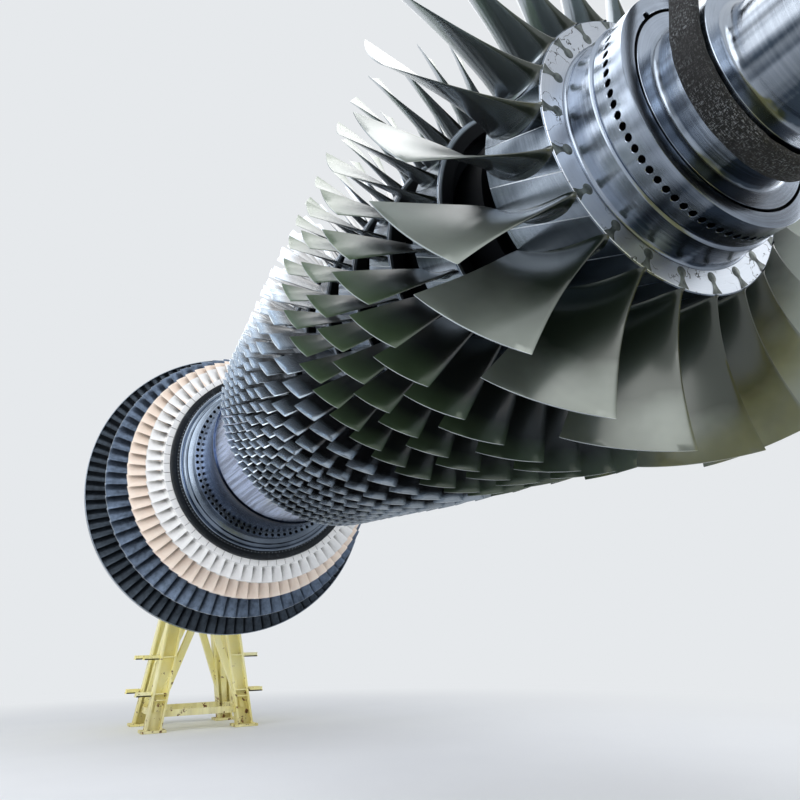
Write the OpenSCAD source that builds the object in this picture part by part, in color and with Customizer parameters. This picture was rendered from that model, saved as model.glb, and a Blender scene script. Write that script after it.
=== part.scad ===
// Gas turbine rotor with its compressor and turbine blading, carried on two trestles.
// Millimetres, +Z up, floor at Z = 0. X runs along the rotor towards the compressor inlet.
// Stations along the rotor are measured from the last turbine row, before the shift to mid-length.

/* [Rotor line] */
// height of the rotor axis over the floor
axis_z = 2620; // [2300:10:3000]
// distance from the last turbine row to the middle of the whole part
mid_station = 3000; // [2800:10:3200]

/* [Front shaft] */
// radius of the drilled hub at its front edge
hub_r = 474; // [440:1:500]
// radius of the drilled hub where it meets the first disc
hub_foot_r = 485; // [450:1:520]
// station of the hub's front edge
hub_front = 6790; // [6770:1:6860]
// station of the turned line behind the holes
hub_line = 6660; // [6600:1:6690]
// depth of that turned line
hub_line_depth = 4; // [2:0.5:8]
// number of radial balance holes round the hub
hub_holes = 71; // [48:1:72]
// radius of each balance hole
hub_hole_r = 13.5; // [8:0.5:15]
// depth of each balance hole
hub_hole_depth = 45; // [20:1:60]
// station of the ring of balance holes
hub_hole_station = 6717; // [6700:1:6740]
// radius of the wide journal in front of the hub
journal_r = 323; // [300:1:340]
// station where the wide journal ends
journal_end = 6995; // [6950:1:7050]
// depth of the hollow behind the hub
hub_web = 40; // [20:1:80]
// length of the rounded foot where the hub meets the first disc
hub_fillet = 15; // [5:1:25]
// width of the dip behind the turned line
hub_line_w = 12; // [6:1:20]
// inner radius of the balance slot in the hub's front face
face_slot_r = 402; // [380:1:430]
// width of the balance slot
face_slot_w = 12; // [6:1:20]
// depth of the balance slot
face_slot_depth = 40; // [20:1:60]
// size of the rounded foot where the journal leaves the hub's face
journal_foot = 22; // [10:1:40]
// radius of the slim front shaft
shaft_r = 232; // [200:1:240]
// size of the rounded foot where the slim shaft leaves the journal
shaft_foot = 30; // [15:1:60]
// radius of the front bearing journal
bearing_r = 250; // [242:1:280]
// station of the middle of the front bearing journal
front_bearing = 7800; // [7780:10:7900]
// length of each bearing journal
bearing_length = 620; // [520:10:700]
// radius of the coupling flange at each end
coupling_r = 400; // [360:1:420]
// thickness of each coupling flange
coupling_t = 90; // [60:1:120]
// pitch circle radius of the coupling bolt holes
coupling_pitch_r = 325; // [300:1:340]
// number of coupling bolt holes
coupling_holes = 16; // [8:1:24]
// radius of each coupling bolt hole
coupling_hole_r = 27; // [15:1:32]
// station of the front coupling face
front_end = 8640; // [8500:10:8700]
// station of the rear coupling face
rear_end = -2640; // [-2700:10:-2500]
// radius of the bore through both end shafts
bore_r = 60; // [40:1:80]

/* [Compressor rows] */
// station of each compressor row, front to back
comp_x = [6355, 5790, 5405, 5055, 4745, 4450, 4220, 4040, 3835, 3675, 3505, 3325, 3170];
// blade tip radius of each compressor row
comp_tip = [1175, 1100, 1058, 1036, 1018, 1001, 983, 968, 952, 939, 927, 914, 903];
// how far each compressor disc's rim stands over the middle shaft's front half
comp_rim_rise = [-100, -45, -8, 15, 32, 43, 50, 55, 59, 62, 65, 68, 70];
// width of each compressor disc's rim
comp_width = [350, 240, 205, 185, 170, 150, 122, 112, 104, 98, 94, 90, 88];
// number of blades in each compressor row
comp_blades = [21, 36, 40, 45, 46, 50, 64, 68, 72, 90, 90, 90, 94];
// blade chord at the tip of each compressor row
comp_chord = [450, 275, 205, 185, 165, 138, 114, 104, 96, 88, 84, 80, 78];
// angle of the first blade of each compressor row from the top, seen along -X
comp_clock = [14, 3.6, 0.6, 7.7, 1.5, 5.1, 3.2, 0.9, 4.1, 2.2, 3.5, 1.1, 2.7];
// depth of the gap between neighbouring rims
rim_gap_depth = 130; // [100:1:140]
// depth of each rim
rim_depth = 70; // [50:1:90]
// thickness of each disc's web
web_t = 60; // [40:1:80]
// depth of each disc's joint ring
joint_ring = 120; // [80:1:160]
// how far the last disc's joint ring reaches back to the middle shaft
last_joint = 40; // [20:1:60]
// how far each blade's foot reaches into its rim
blade_root = 8; // [5:1:20]
// blade stagger from the axis at the tip of the front rows
tip_stagger = 56; // [45:1:62]
// blade stagger from the axis at the foot of the front rows
foot_stagger = 24; // [15:1:35]
// blade stagger of the short rear rows
rear_stagger = 50; // [35:1:56]

/* [Middle shaft] */
// radius of the middle shaft's front half
drum_r = 700; // [680:1:715]
// how far the middle shaft's rear half stands over the front half
drum_rear_rise = 12; // [4:1:20]
// station of the joint between the two halves
drum_joint = 2060; // [1900:1:2200]
// wall of the middle shaft
drum_wall = 110; // [80:1:140]
// station where the middle shaft meets the turbine's drilled ring
drum_end = 1520; // [1510:1:1560]
// how far the turbine's drilled ring stands over the middle shaft
ring_rise = 57; // [48:1:70]
// number of holes in the turbine's drilled ring
ring_holes = 77; // [60:1:80]
// radius of each of those holes
ring_hole_r = 15; // [8:0.5:18]
// how far those holes lie under the ring's outer edge
ring_hole_inset = 23; // [19:1:26]
// depth of each of those holes
ring_hole_depth = 40; // [20:1:60]
// station of the back of the drilled ring
ring_back = 1400; // [1390:1:1420]

/* [Turbine rows] */
// station of each turbine row, front to back
turb_x = [1190, 880, 490, 10];
// blade tip radius of each turbine row
turb_tip = [1148, 1278, 1440, 1600];
// rim radius of each turbine disc
turb_rim = [1000, 985, 955, 900];
// width of each turbine disc's rim
turb_width = [200, 215, 235, 260];
// number of blades in each turbine row
turb_blades = [69, 70, 70, 94];
// blade chord of each turbine row
turb_chord = [150, 165, 180, 190];
// blade stagger from the axis at the foot of each turbine row
turb_foot_stagger = [32, 32, 30, 14];
// blade stagger from the axis at the tip of each turbine row
turb_tip_stagger = [60, 62, 66, 62];
// thickness of the band round the tips of the last turbine row
tip_band_t = 8; // [5:1:20]
// width of that band
tip_band_w = 80; // [40:1:120]
// depth of each turbine disc's rim
turb_rim_depth = 90; // [60:1:120]
// how far each turbine disc's web is set back from its rim's faces
turb_web_inset = 50; // [30:1:70]
// thickness of the joint rings between the turbine discs
turb_joint = 140; // [100:1:180]
// how far the turbine discs reach in under the middle shaft's bore
turb_inner = 60; // [20:1:90]
// how far the cover's first polished step stands over the middle shaft
cover_step_rise = 100; // [80:1:120]
// how far the cover's second polished step stands over the middle shaft
cover_step2_rise = 168; // [150:1:190]
// how far the cover's black rim stands over the middle shaft
cover_rise = 240; // [230:1:260]
// thickness of the cover's black rim
cover_rim_t = 40; // [20:1:50]
// thickness of the cover at its second step
cover_step_t = 70; // [60:1:90]
// how far the rear hub's flange stands over its cone
rear_flange_rise = 60; // [30:1:90]
// length of the rear hub's flange
rear_flange_t = 60; // [40:1:90]
// length of the slope behind the rear hub's flange
rear_flange_slope = 20; // [10:1:40]
// how far the small end of the rear hub's cone stands over the shaft
rear_cone_foot = 60; // [30:1:80]
// length of the steeper slope at that end
rear_cone_foot_l = 80; // [40:1:120]
// how far the rear hub's bore lies inside the bearing's radius
rear_bore_inset = 60; // [40:1:80]
// length of the rear hub's cone, flange included
rear_cone_l = 700; // [600:10:760]
// radius of the rear hub where it meets the last disc
rear_hub_r = 620; // [560:1:680]

/* [Trestles] */
// station of the middle of the rear trestle
rear_bearing = -1600; // [-1700:10:-1500]
// outside width of a trestle across the rotor, at the floor
trestle_foot_y = 1240; // [1100:10:1500]
// outside width of a trestle across the rotor, at the top
trestle_top_y = 560; // [480:10:700]
// outside length of a trestle along the rotor, at the floor
trestle_foot_x = 1160; // [1000:10:1200]
// outside length of a trestle along the rotor, at the top
trestle_top_x = 620; // [560:10:760]
// width of a trestle leg, a rolled beam with two flanges and a web
leg_w = 180; // [150:1:200]
// thickness of a leg's flanges
flange_t = 22; // [12:1:30]
// thickness of a leg's web
leg_web_t = 16; // [10:1:24]
// heights of the stiffening ribs welded into the legs
rib_z = [330, 1010];
// thickness of those ribs
rib_t = 16; // [8:1:24]
// width of a trestle's ties and braces
tie_w = 70; // [50:1:90]
// length of each square foot plate
foot_plate = 280; // [240:5:320]
// thickness of each foot plate
foot_t = 25; // [15:1:40]
// thickness of the head plate
head_t = 60; // [40:1:90]
// how far the head plate stands out beyond the legs and the cradle
head_margin = 20; // [10:1:40]
// height of the lower ties over the floor
low_tie_z = 190; // [150:5:260]
// how far the upper ties lie under the head plate
high_tie_drop = 160; // [120:5:240]
// how much wider the braces are than they are thick
brace_share = 1.3; // [1:0.05:1.6]
// heights of the step brackets over the floor
step_z = [400, 800];
// length of each step bracket
step_l = 190; // [150:5:220]
// width of each step bracket
step_w = 120; // [60:5:160]
// thickness of each step bracket
step_t = 40; // [20:1:60]
// height of the cradle block under the bearing axis
cradle_drop = 400; // [350:5:450]
// width of the cradle across the rotor
cradle_w = 660; // [620:5:760]
// length of the cradle along the rotor
cradle_l = 520; // [400:10:540]
// clearance between a journal and its bearing shell
shell_gap = 0.5; // [0.3:0.05:1]
// thickness of the bearing shell
shell_t = 30; // [20:1:40]

/* [Sling] */
// station of the middle of the lifting sling
sling_station = 6935; // [6900:1:6940]
// width of the sling along the rotor
sling_w = 108; // [80:1:110]
// thickness of the sling
sling_t = 46; // [30:1:60]
// clearance between the sling and the journal
sling_gap = 0.5; // [0.3:0.1:2]
// height of the pin over the rotor axis
sling_top = 1500; // [1200:10:1800]
// radius of the pin that the sling hangs over
pin_r = 60; // [40:1:80]
// thickness of the pin's end plates
pin_plate_t = 30; // [20:1:40]
// room between the sling and each end plate
pin_room = 10; // [5:1:20]

/* [Hidden] */
round_fn = 192;
hole_fn = 24;
rows = len(comp_x);
comp_rim = [for (rise = comp_rim_rise) drum_r + rise];
ring_in = [for (i = [0:rows - 1]) comp_rim[i] - rim_gap_depth];
eps = 1;
drum_in = drum_r - drum_wall;
drum_rear_r = drum_r + drum_rear_rise;
ring_r = drum_r + ring_rise;
ring_pitch_r = ring_r - ring_hole_inset;
cover_step_r = drum_r + cover_step_rise;
cover_step2_r = drum_r + cover_step2_rise;
cover_r = drum_r + cover_rise;
loop_steps = 96;
pin_steps = 24;

/* [Drawing] */

// moves a piece drawn along the rotor axis to its place over the floor
module on_rotor() {
  translate([-mid_station, 0, axis_z]) children();
}

// solid of revolution about the rotor axis from points [radius, station]
module turned(points) {
  rotate([0, 90, 0]) rotate_extrude($fn = round_fn) polygon(points);
}

// tube about the rotor axis
module tube(r_out, r_in, from, to) {
  turned([[r_in, from], [r_out, from], [r_out, to], [r_in, to]]);
}

// half thickness of an aerofoil along its chord, as a share of the greatest
function fat(u) = 0.14 + 0.86 * sin(180 * pow(u, 0.8));

// one side of an aerofoil, leading edge first, with camber and thickness as shares of the chord
function side(c, camber, t, n, up) = [for (i = [0:n])
  let(u = i / n) [c * (0.5 - u), c * (4 * camber * u * (1 - u) + up * t / 2 * fat(u))]];

// closed outline of an aerofoil
function outline(c, camber, t, n) = concat(
  side(c, camber, t, n, 1), [for (i = [n:-1:0]) side(c, camber, t, n, -1)[i]]);

// the outline turned to its stagger: the leading edge points to +X and -Y
function turned_outline(c, s, camber, t, n) = [for (p = outline(c, camber, t, n))
  [p[0] * cos(s) + p[1] * sin(s), -p[0] * sin(s) + p[1] * cos(s)]];

// twisted blades of one row as a single mesh. sections: [radius, chord, stagger, camber, thickness, n]
module twisted_blades(count, station, sections, n, first) {
  m = 2 * (n + 1);
  k = len(sections);
  rings = [for (q = sections) turned_outline(q[1], q[2], q[3], q[4], n)];
  points = [for (b = [0:count - 1]) let(a = first + b * 360 / count)
    for (j = [0:k - 1]) for (p = rings[j])
      let(h = sqrt(pow(sections[j][0], 2) - pow(p[1], 2)))
      [station + p[0], p[1] * cos(a) - h * sin(a), p[1] * sin(a) + h * cos(a)]];
  faces = [for (b = [0:count - 1]) let(o = b * m * k) each concat(
    [for (i = [0:n - 1]) let(a = o + i, c = o + m - 1 - i) each [[a, a + 1, c - 1], [a, c - 1, c]]],
    [for (i = [0:n - 1]) let(a = o + (k - 1) * m + i, c = o + k * m - 1 - i)
      each [[c - 1, a + 1, a], [c, c - 1, a]]],
    [for (j = [0:k - 2]) for (i = [0:m - 1]) let(i2 = (i + 1) % m, a = o + j * m, c = a + m)
      each [[c + i2, a + i2, a + i], [c + i, c + i2, a + i]]])];
  polyhedron(points, faces);
}

// straight blades of one row
module straight_blades(count, station, r_in, r_out, c, s, camber, t, n, first) {
  for (b = [0:count - 1])
    rotate([first + b * 360 / count, 0, 0]) translate([station, 0, r_in])
      linear_extrude(height = r_out - r_in) polygon(turned_outline(c, s, camber, t, n));
}

// front and back stations where compressor disc i meets its neighbours
function disc_front(i) = i == 0 ? comp_x[0] + comp_width[0] / 2
  : (comp_x[i] + comp_width[i] / 2 + comp_x[i - 1] - comp_width[i - 1] / 2) / 2;
function disc_back(i) = i == rows - 1 ? comp_x[i] - comp_width[i] / 2 - last_joint : disc_front(i + 1);

// compressor disc with its rim, web and joint ring; the first disc's front face is flat
module compressor_disc(i) {
  rim = comp_rim[i];
  front = comp_x[i] + comp_width[i] / 2;
  back = comp_x[i] - comp_width[i] / 2;
  jr = ring_in[i];
  hollow = [[rim - rim_depth, front], [rim - rim_depth, comp_x[i] + web_t / 2],
    [jr, comp_x[i] + web_t / 2], [jr, disc_front(i)]];
  turned(concat([
    [jr - joint_ring, disc_back(i)], [jr, disc_back(i)], [jr, comp_x[i] - web_t / 2],
    [rim - rim_depth, comp_x[i] - web_t / 2], [rim - rim_depth, back], [rim, back], [rim, front]],
    i == 0 ? [] : hollow, [[jr - joint_ring, disc_front(i)]]));
}

// front rows with twisted blades
module front_row(i, sections, n) {
  on_rotor() {
    compressor_disc(i);
    twisted_blades(comp_blades[i], comp_x[i], [for (q = sections)
      [comp_rim[i] - blade_root + (comp_tip[i] - comp_rim[i] + blade_root) * q[0],
       comp_chord[i] * q[1], foot_stagger + (tip_stagger - foot_stagger) * q[2], q[3], q[4]]], n, comp_clock[i]);
  }
}

// rear rows with straight blades
module rear_row(i) {
  on_rotor() {
    compressor_disc(i);
    straight_blades(comp_blades[i], comp_x[i], comp_rim[i] - blade_root, comp_tip[i],
      comp_chord[i], rear_stagger, -0.06, 0.08, 2, comp_clock[i]);
  }
}

front_sections = [[0, 0.80, 0, -0.12, 0.12], [0.3, 0.84, 0.42, -0.09, 0.085],
  [0.65, 0.92, 0.78, -0.05, 0.055], [1, 1, 1, -0.03, 0.035]];
mid_sections = [[0, 0.82, 0.15, -0.11, 0.11], [0.5, 0.9, 0.62, -0.07, 0.07], [1, 1, 1, -0.04, 0.04]];

module compressor_row_01() { color("#9aa39c") front_row(0, front_sections, 4); }
module compressor_row_02() { color("#7f8c80") front_row(1, mid_sections, 3); }
module compressor_row_03() { color("#7f8c80") front_row(2, mid_sections, 3); }
module compressor_row_04() { color("#7f8c80") rear_row(3); }
module compressor_row_05() { color("#8d9aa3") rear_row(4); }
module compressor_row_06() { color("#8d9aa3") rear_row(5); }
module compressor_row_07() { color("#9fadb8") rear_row(6); }
module compressor_row_08() { color("#9fadb8") rear_row(7); }
module compressor_row_09() { color("#b4c0ca") rear_row(8); }
module compressor_row_10() { color("#b4c0ca") rear_row(9); }
module compressor_row_11() { color("#c3cdd6") rear_row(10); }
module compressor_row_12() { color("#c3cdd6") rear_row(11); }
module compressor_row_13() { color("#c3cdd6") rear_row(12); }

// drilled hub in front of the first disc, with a balance slot in its front face
module front_hub() {
  back = disc_front(0);
  inner = ring_in[0] - joint_ring;
  color("#c9d0d6") on_rotor() difference() {
    turned([
      [inner, back], [hub_foot_r + hub_fillet, back], [hub_foot_r + hub_fillet * 0.3, back + hub_fillet * 0.3],
      [hub_foot_r, back + hub_fillet], [hub_foot_r, hub_line - hub_line_w],
      [hub_r - hub_line_depth, hub_line - hub_line_w / 2], [hub_r - hub_line_depth, hub_line],
      [hub_r, hub_line], [hub_r, hub_front], [face_slot_r + face_slot_w, hub_front],
      [face_slot_r + face_slot_w, hub_front - face_slot_depth], [face_slot_r, hub_front - face_slot_depth],
      [face_slot_r, hub_front], [bore_r, hub_front], [bore_r, back + hub_web], [inner, back + hub_web]
    ]);
    for (k = [0:hub_holes - 1]) rotate([k * 360 / hub_holes, 0, 0])
      translate([hub_hole_station, 0, hub_r - hub_hole_depth])
        cylinder(r = hub_hole_r, h = hub_hole_depth + 20, $fn = hole_fn);
  }
}

module front_journal() {
  color("#d2d8dd") on_rotor() turned([
    [bore_r, hub_front], [journal_r + journal_foot, hub_front],
    [journal_r + journal_foot * 0.3, hub_front + journal_foot * 0.3],
    [journal_r, hub_front + journal_foot], [journal_r, journal_end], [bore_r, journal_end]
  ]);
}

module front_shaft() {
  a = front_bearing - bearing_length / 2;
  b = front_bearing + bearing_length / 2;
  color("#d2d8dd") on_rotor() turned([
    [bore_r, journal_end], [shaft_r + shaft_foot, journal_end],
    [shaft_r + shaft_foot * 0.3, journal_end + shaft_foot * 0.3],
    [shaft_r, journal_end + shaft_foot], [shaft_r, a], [bearing_r, a], [bearing_r, b], [shaft_r, b],
    [shaft_r, front_end - coupling_t], [bore_r, front_end - coupling_t]
  ]);
}

// coupling flange with its bolt holes
module coupling(from) {
  difference() {
    tube(coupling_r, bore_r, from, from + coupling_t);
    for (k = [0:coupling_holes - 1]) rotate([(k + 0.5) * 360 / coupling_holes, 0, 0])
      translate([from - eps, 0, coupling_pitch_r]) rotate([0, 90, 0])
        cylinder(r = coupling_hole_r, h = coupling_t + 2 * eps, $fn = 48);
  }
}

module front_coupling() { color("#bfc6cc") on_rotor() coupling(front_end - coupling_t); }
module rear_coupling() { color("#bfc6cc") on_rotor() coupling(rear_end); }

module middle_shaft_front() {
  color("#8fa0bb") on_rotor() tube(drum_r, drum_in, drum_joint, disc_back(rows - 1));
}

module middle_shaft_rear() {
  color("#5d6b82") on_rotor() tube(drum_rear_r, drum_in, drum_end, drum_joint);
}

module turbine_drilled_ring() {
  color("#c9d0d6") on_rotor() difference() {
    tube(ring_r, drum_in, ring_back, drum_end);
    for (k = [0:ring_holes - 1]) rotate([k * 360 / ring_holes, 0, 0])
      translate([drum_end - ring_hole_depth, 0, ring_pitch_r]) rotate([0, 90, 0])
        cylinder(r = ring_hole_r, h = ring_hole_depth + eps, $fn = hole_fn);
  }
}

// stepped cover between the drilled ring and the first turbine disc
module turbine_front_cover() {
  face = turb_x[0] + turb_width[0] / 2;
  color("#3a3d42") on_rotor() turned([
    [drum_in, face], [cover_r, face], [cover_r, face + cover_rim_t],
    [cover_step2_r, face + cover_rim_t], [cover_step2_r, face + cover_step_t], [cover_step_r, face + cover_step_t],
    [cover_step_r, ring_back], [drum_in, ring_back]
  ]);
}

// front and back stations where turbine disc i meets its neighbours
function turb_front(i) = i == 0 ? turb_x[0] + turb_width[0] / 2
  : (turb_x[i] + turb_width[i] / 2 + turb_x[i - 1] - turb_width[i - 1] / 2) / 2;
function turb_back(i) = i == 3 ? turb_x[3] - turb_width[3] / 2 : turb_front(i + 1);

module turbine_disc(i) {
  rim = turb_rim[i];
  front = turb_x[i] + turb_width[i] / 2;
  back = turb_x[i] - turb_width[i] / 2;
  inner = drum_in - turb_inner;
  joint = inner + turb_joint;
  turned([
    [inner, turb_back(i)], [joint, turb_back(i)], [joint, back + turb_web_inset],
    [rim - turb_rim_depth, back + turb_web_inset], [rim - turb_rim_depth, back], [rim, back],
    [rim, front], [rim - turb_rim_depth, front], [rim - turb_rim_depth, front - turb_web_inset],
    [joint, front - turb_web_inset], [joint, turb_front(i)], [inner, turb_front(i)]
  ]);
}

// turbine disc i with its twisted blades. sections: [share of the height, chord, stagger, camber, thickness]
module turbine_row(i, sections, tip) {
  on_rotor() {
    turbine_disc(i);
    twisted_blades(turb_blades[i], turb_x[i], [for (q = sections)
      [turb_rim[i] - blade_root + (tip - turb_rim[i] + blade_root) * q[0], turb_chord[i] * q[1],
       turb_foot_stagger[i] + (turb_tip_stagger[i] - turb_foot_stagger[i]) * q[2], q[3], q[4]]], 2, 0);
  }
}

turb_sections = [[0, 1, 0, 0.12, 0.15], [1, 0.94, 1, 0.05, 0.08]];
last_sections = [[0, 1, 0, 0.17, 0.14], [0.5, 0.86, 0.55, 0.09, 0.08], [1, 0.75, 1, 0.03, 0.045]];

module turbine_row_1() { color("#e4e4e2") turbine_row(0, turb_sections, turb_tip[0]); }
module turbine_row_2() { color("#e0cfc0") turbine_row(1, turb_sections, turb_tip[1]); }
module turbine_row_3() { color("#5f6c78") turbine_row(2, turb_sections, turb_tip[2]); }

// corners of a regular polygon about the rotor axis
function many_sided(r, n) = [for (k = [0:n - 1]) [r * cos(k * 360 / n), r * sin(k * 360 / n)]];

// the last row, with a band round the tips of its blades
module turbine_row_4() {
  color("#2c3036") {
    turbine_row(3, last_sections, turb_tip[3] - tip_band_t / 2);
    on_rotor() translate([turb_x[3] - tip_band_w / 2, 0, 0]) rotate([90, 0, 90])
      linear_extrude(height = tip_band_w) difference() {
        polygon(many_sided(turb_tip[3], 2 * turb_blades[3]));
        polygon(many_sided(turb_tip[3] - tip_band_t, 2 * turb_blades[3]));
      }
  }
}

module rear_hub() {
  face = turb_back(3);
  color("#9aa3ab") on_rotor() turned([
    [bearing_r - rear_bore_inset, face], [rear_hub_r + rear_flange_rise, face],
    [rear_hub_r + rear_flange_rise, face - rear_flange_t], [rear_hub_r, face - rear_flange_t - rear_flange_slope],
    [shaft_r + rear_cone_foot, face - rear_cone_l + rear_cone_foot_l], [shaft_r, face - rear_cone_l],
    [bearing_r - rear_bore_inset, face - rear_cone_l]
  ]);
}

module rear_shaft() {
  a = rear_bearing - bearing_length / 2;
  b = rear_bearing + bearing_length / 2;
  color("#d2d8dd") on_rotor() turned([
    [bore_r, turb_back(3) - rear_cone_l], [shaft_r, turb_back(3) - rear_cone_l], [shaft_r, b], [bearing_r, b],
    [bearing_r, a], [shaft_r, a], [shaft_r, rear_end + coupling_t], [bore_r, rear_end + coupling_t]
  ]);
}

// height of the underside of a trestle's head plate
top_z = axis_z - cradle_drop - head_t;

// square bar from one point to another, cut level at both ends
module bar(p, q, wx, wy) {
  polyhedron(
    [for (c = [p, q]) for (s = [[-1, -1], [1, -1], [1, 1], [-1, 1]])
      [c[0] + s[0] * wx / 2, c[1] + s[1] * wy / 2, c[2]]],
    [[0, 1, 2, 3], [7, 6, 5, 4], [4, 5, 1, 0], [5, 6, 2, 1], [6, 7, 3, 2], [7, 4, 0, 3]]);
}

// middle of a leg at height z, on the side sx along the rotor and sy across it
function leg_at(z, sx, sy) = let(f = (z - foot_t) / (top_z - foot_t)) [
  sx * ((trestle_foot_x - leg_w) * (1 - f) + (trestle_top_x - leg_w) * f) / 2,
  sy * ((trestle_foot_y - leg_w) * (1 - f) + (trestle_top_y - leg_w) * f) / 2, z];

// part of all four legs: x and y run outwards from the middle of the leg's section
module leg_part(x0, x1, y0, y1) {
  for (sx = [-1, 1]) for (sy = [-1, 1]) let(m = [sx * (x0 + x1) / 2, sy * (y0 + y1) / 2, 0])
    bar(leg_at(foot_t, sx, sy) + m, leg_at(top_z, sx, sy) + m, x1 - x0, y1 - y0);
}

// each leg is a rolled beam: flanges across the rotor's sides and a web between them, with ribs
// on the outward side of the web
module trestle_legs() {
  half = leg_w / 2;
  leg_part(-half, half, half - flange_t, half);
  leg_part(-half, half, -half, flange_t - half);
  leg_part(-leg_web_t / 2, leg_web_t / 2, flange_t - half - eps, half - flange_t + eps);
  for (sx = [-1, 1]) for (sy = [-1, 1]) {
    for (z = rib_z) let(p = leg_at(z, sx, sy))
      translate([sx > 0 ? p[0] : p[0] - half + 5, p[1] - half + eps, z - rib_t / 2])
        cube([half - 5, leg_w - 2 * eps, rib_t]);
    let(p = leg_at(foot_t, sx, sy))
      translate([p[0] - foot_plate / 2, p[1] - foot_plate / 2, 0]) cube([foot_plate, foot_plate, foot_t]);
  }
}

// ties and crossed braces between the legs: those across the rotor end on the flanges, and
// those along it end on the webs
module trestle_bracing() {
  high = top_z - high_tie_drop;
  half = leg_w / 2;
  difference() {
    for (s = [-1, 1]) {
      for (z = [low_tie_z, high]) let(p = leg_at(z, 1, 1))
        translate([s * p[0] - tie_w / 2, -p[1], z - tie_w / 2]) cube([tie_w, 2 * p[1], tie_w]);
      for (m = [-1, 1]) bar(leg_at(low_tie_z, s, -m), leg_at(high, s, m), tie_w, tie_w * brace_share);
    }
    leg_part(-half, half, -half, half);
  }
  difference() {
    for (s = [-1, 1]) {
      for (z = [low_tie_z, high]) let(p = leg_at(z, 1, 1))
        translate([-p[0], s * p[1] - tie_w / 2, z - tie_w / 2]) cube([2 * p[0], tie_w, tie_w]);
      for (m = [-1, 1]) bar(leg_at(low_tie_z, -m, s), leg_at(high, m, s), tie_w * brace_share, tie_w);
    }
    leg_part(-leg_web_t / 2, half, -half, half);
  }
}

// flat step brackets welded to the outer flanges of the legs
module trestle_steps() {
  difference() {
    for (z = step_z) for (sx = [-1, 1]) for (sy = [-1, 1]) let(p = leg_at(z, sx, sy))
      translate([p[0] - step_w / 2, sy > 0 ? p[1] : p[1] - leg_w / 2 - step_l, z - step_t / 2])
        cube([step_w, leg_w / 2 + step_l, step_t]);
    leg_part(-leg_w / 2, leg_w / 2, -leg_w / 2, leg_w / 2);
  }
}

module trestle_head() {
  translate([-trestle_top_x / 2 - head_margin, -cradle_w / 2 - head_margin, top_z])
    cube([trestle_top_x + 2 * head_margin, cradle_w + 2 * head_margin, head_t]);
}

module cradle() {
  difference() {
    translate([-cradle_l / 2, -cradle_w / 2, axis_z - cradle_drop]) cube([cradle_l, cradle_w, cradle_drop]);
    translate([-cradle_l / 2 - eps, 0, axis_z]) rotate([0, 90, 0])
      cylinder(r = bearing_r + shell_gap + shell_t, h = cradle_l + 2 * eps, $fn = round_fn);
  }
}

// lower half of the bearing shell that the journal lies in
module bearing_shell() {
  difference() {
    translate([-cradle_l / 2, 0, axis_z]) rotate([0, 90, 0])
      cylinder(r = bearing_r + shell_gap + shell_t, h = cradle_l, $fn = round_fn);
    translate([-cradle_l / 2 - eps, 0, axis_z]) rotate([0, 90, 0])
      cylinder(r = bearing_r + shell_gap, h = cradle_l + 2 * eps, $fn = round_fn);
    translate([-cradle_l / 2 - eps, -bearing_r * 2, axis_z])
      cube([cradle_l + 2 * eps, bearing_r * 4, bearing_r * 2]);
  }
}

module at_front() { translate([front_bearing - mid_station, 0, 0]) children(); }
module at_rear() { translate([rear_bearing - mid_station, 0, 0]) children(); }

module front_trestle_legs() { color("#dccf86") at_front() trestle_legs(); }
module front_trestle_bracing() { color("#d3c47a") at_front() trestle_bracing(); }
module front_trestle_steps() { color("#d3c47a") at_front() trestle_steps(); }
module front_trestle_head() { color("#dccf86") at_front() trestle_head(); }
module front_cradle() { color("#dccf86") at_front() cradle(); }
module front_bearing_shell() { color("#b08d57") at_front() bearing_shell(); }
module rear_trestle_legs() { color("#dccf86") at_rear() trestle_legs(); }
module rear_trestle_bracing() { color("#d3c47a") at_rear() trestle_bracing(); }
module rear_trestle_steps() { color("#d3c47a") at_rear() trestle_steps(); }
module rear_trestle_head() { color("#dccf86") at_rear() trestle_head(); }
module rear_cradle() { color("#dccf86") at_rear() cradle(); }
module rear_bearing_shell() { color("#b08d57") at_rear() bearing_shell(); }

// outline of the sling's loop, grown outwards from the faces of the journal and the pin
function loop(grow) = let(
  big = journal_r + sling_gap + grow,
  small = pin_r + grow,
  lean = asin((big - small) / sling_top))
  concat(
    [for (i = [0:loop_steps]) let(a = 180 - lean + i * (180 + 2 * lean) / loop_steps)
      [big * cos(a), big * sin(a)]],
    [for (i = [0:pin_steps]) let(a = lean + i * (180 - 2 * lean) / pin_steps)
      [small * cos(a), sling_top + small * sin(a)]]);

// endless sling: round under the journal, up both sides and over the pin
module lifting_sling() {
  color("#2b2c30") on_rotor() translate([sling_station - sling_w / 2, 0, 0]) rotate([90, 0, 90])
    linear_extrude(height = sling_w) difference() {
      polygon(loop(sling_t));
      polygon(loop(0));
    }
}

// pin with end plates that the sling hangs over
module sling_pin() {
  side = sling_w / 2 + pin_room;
  color("#6b7075") on_rotor() translate([sling_station, 0, sling_top]) rotate([0, 90, 0]) {
    translate([0, 0, -side]) cylinder(r = pin_r - sling_gap, h = 2 * side, $fn = 96);
    for (z = [side, -side - pin_plate_t]) translate([0, 0, z])
      cylinder(r = pin_r + sling_t, h = pin_plate_t, $fn = 96);
  }
}

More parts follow.
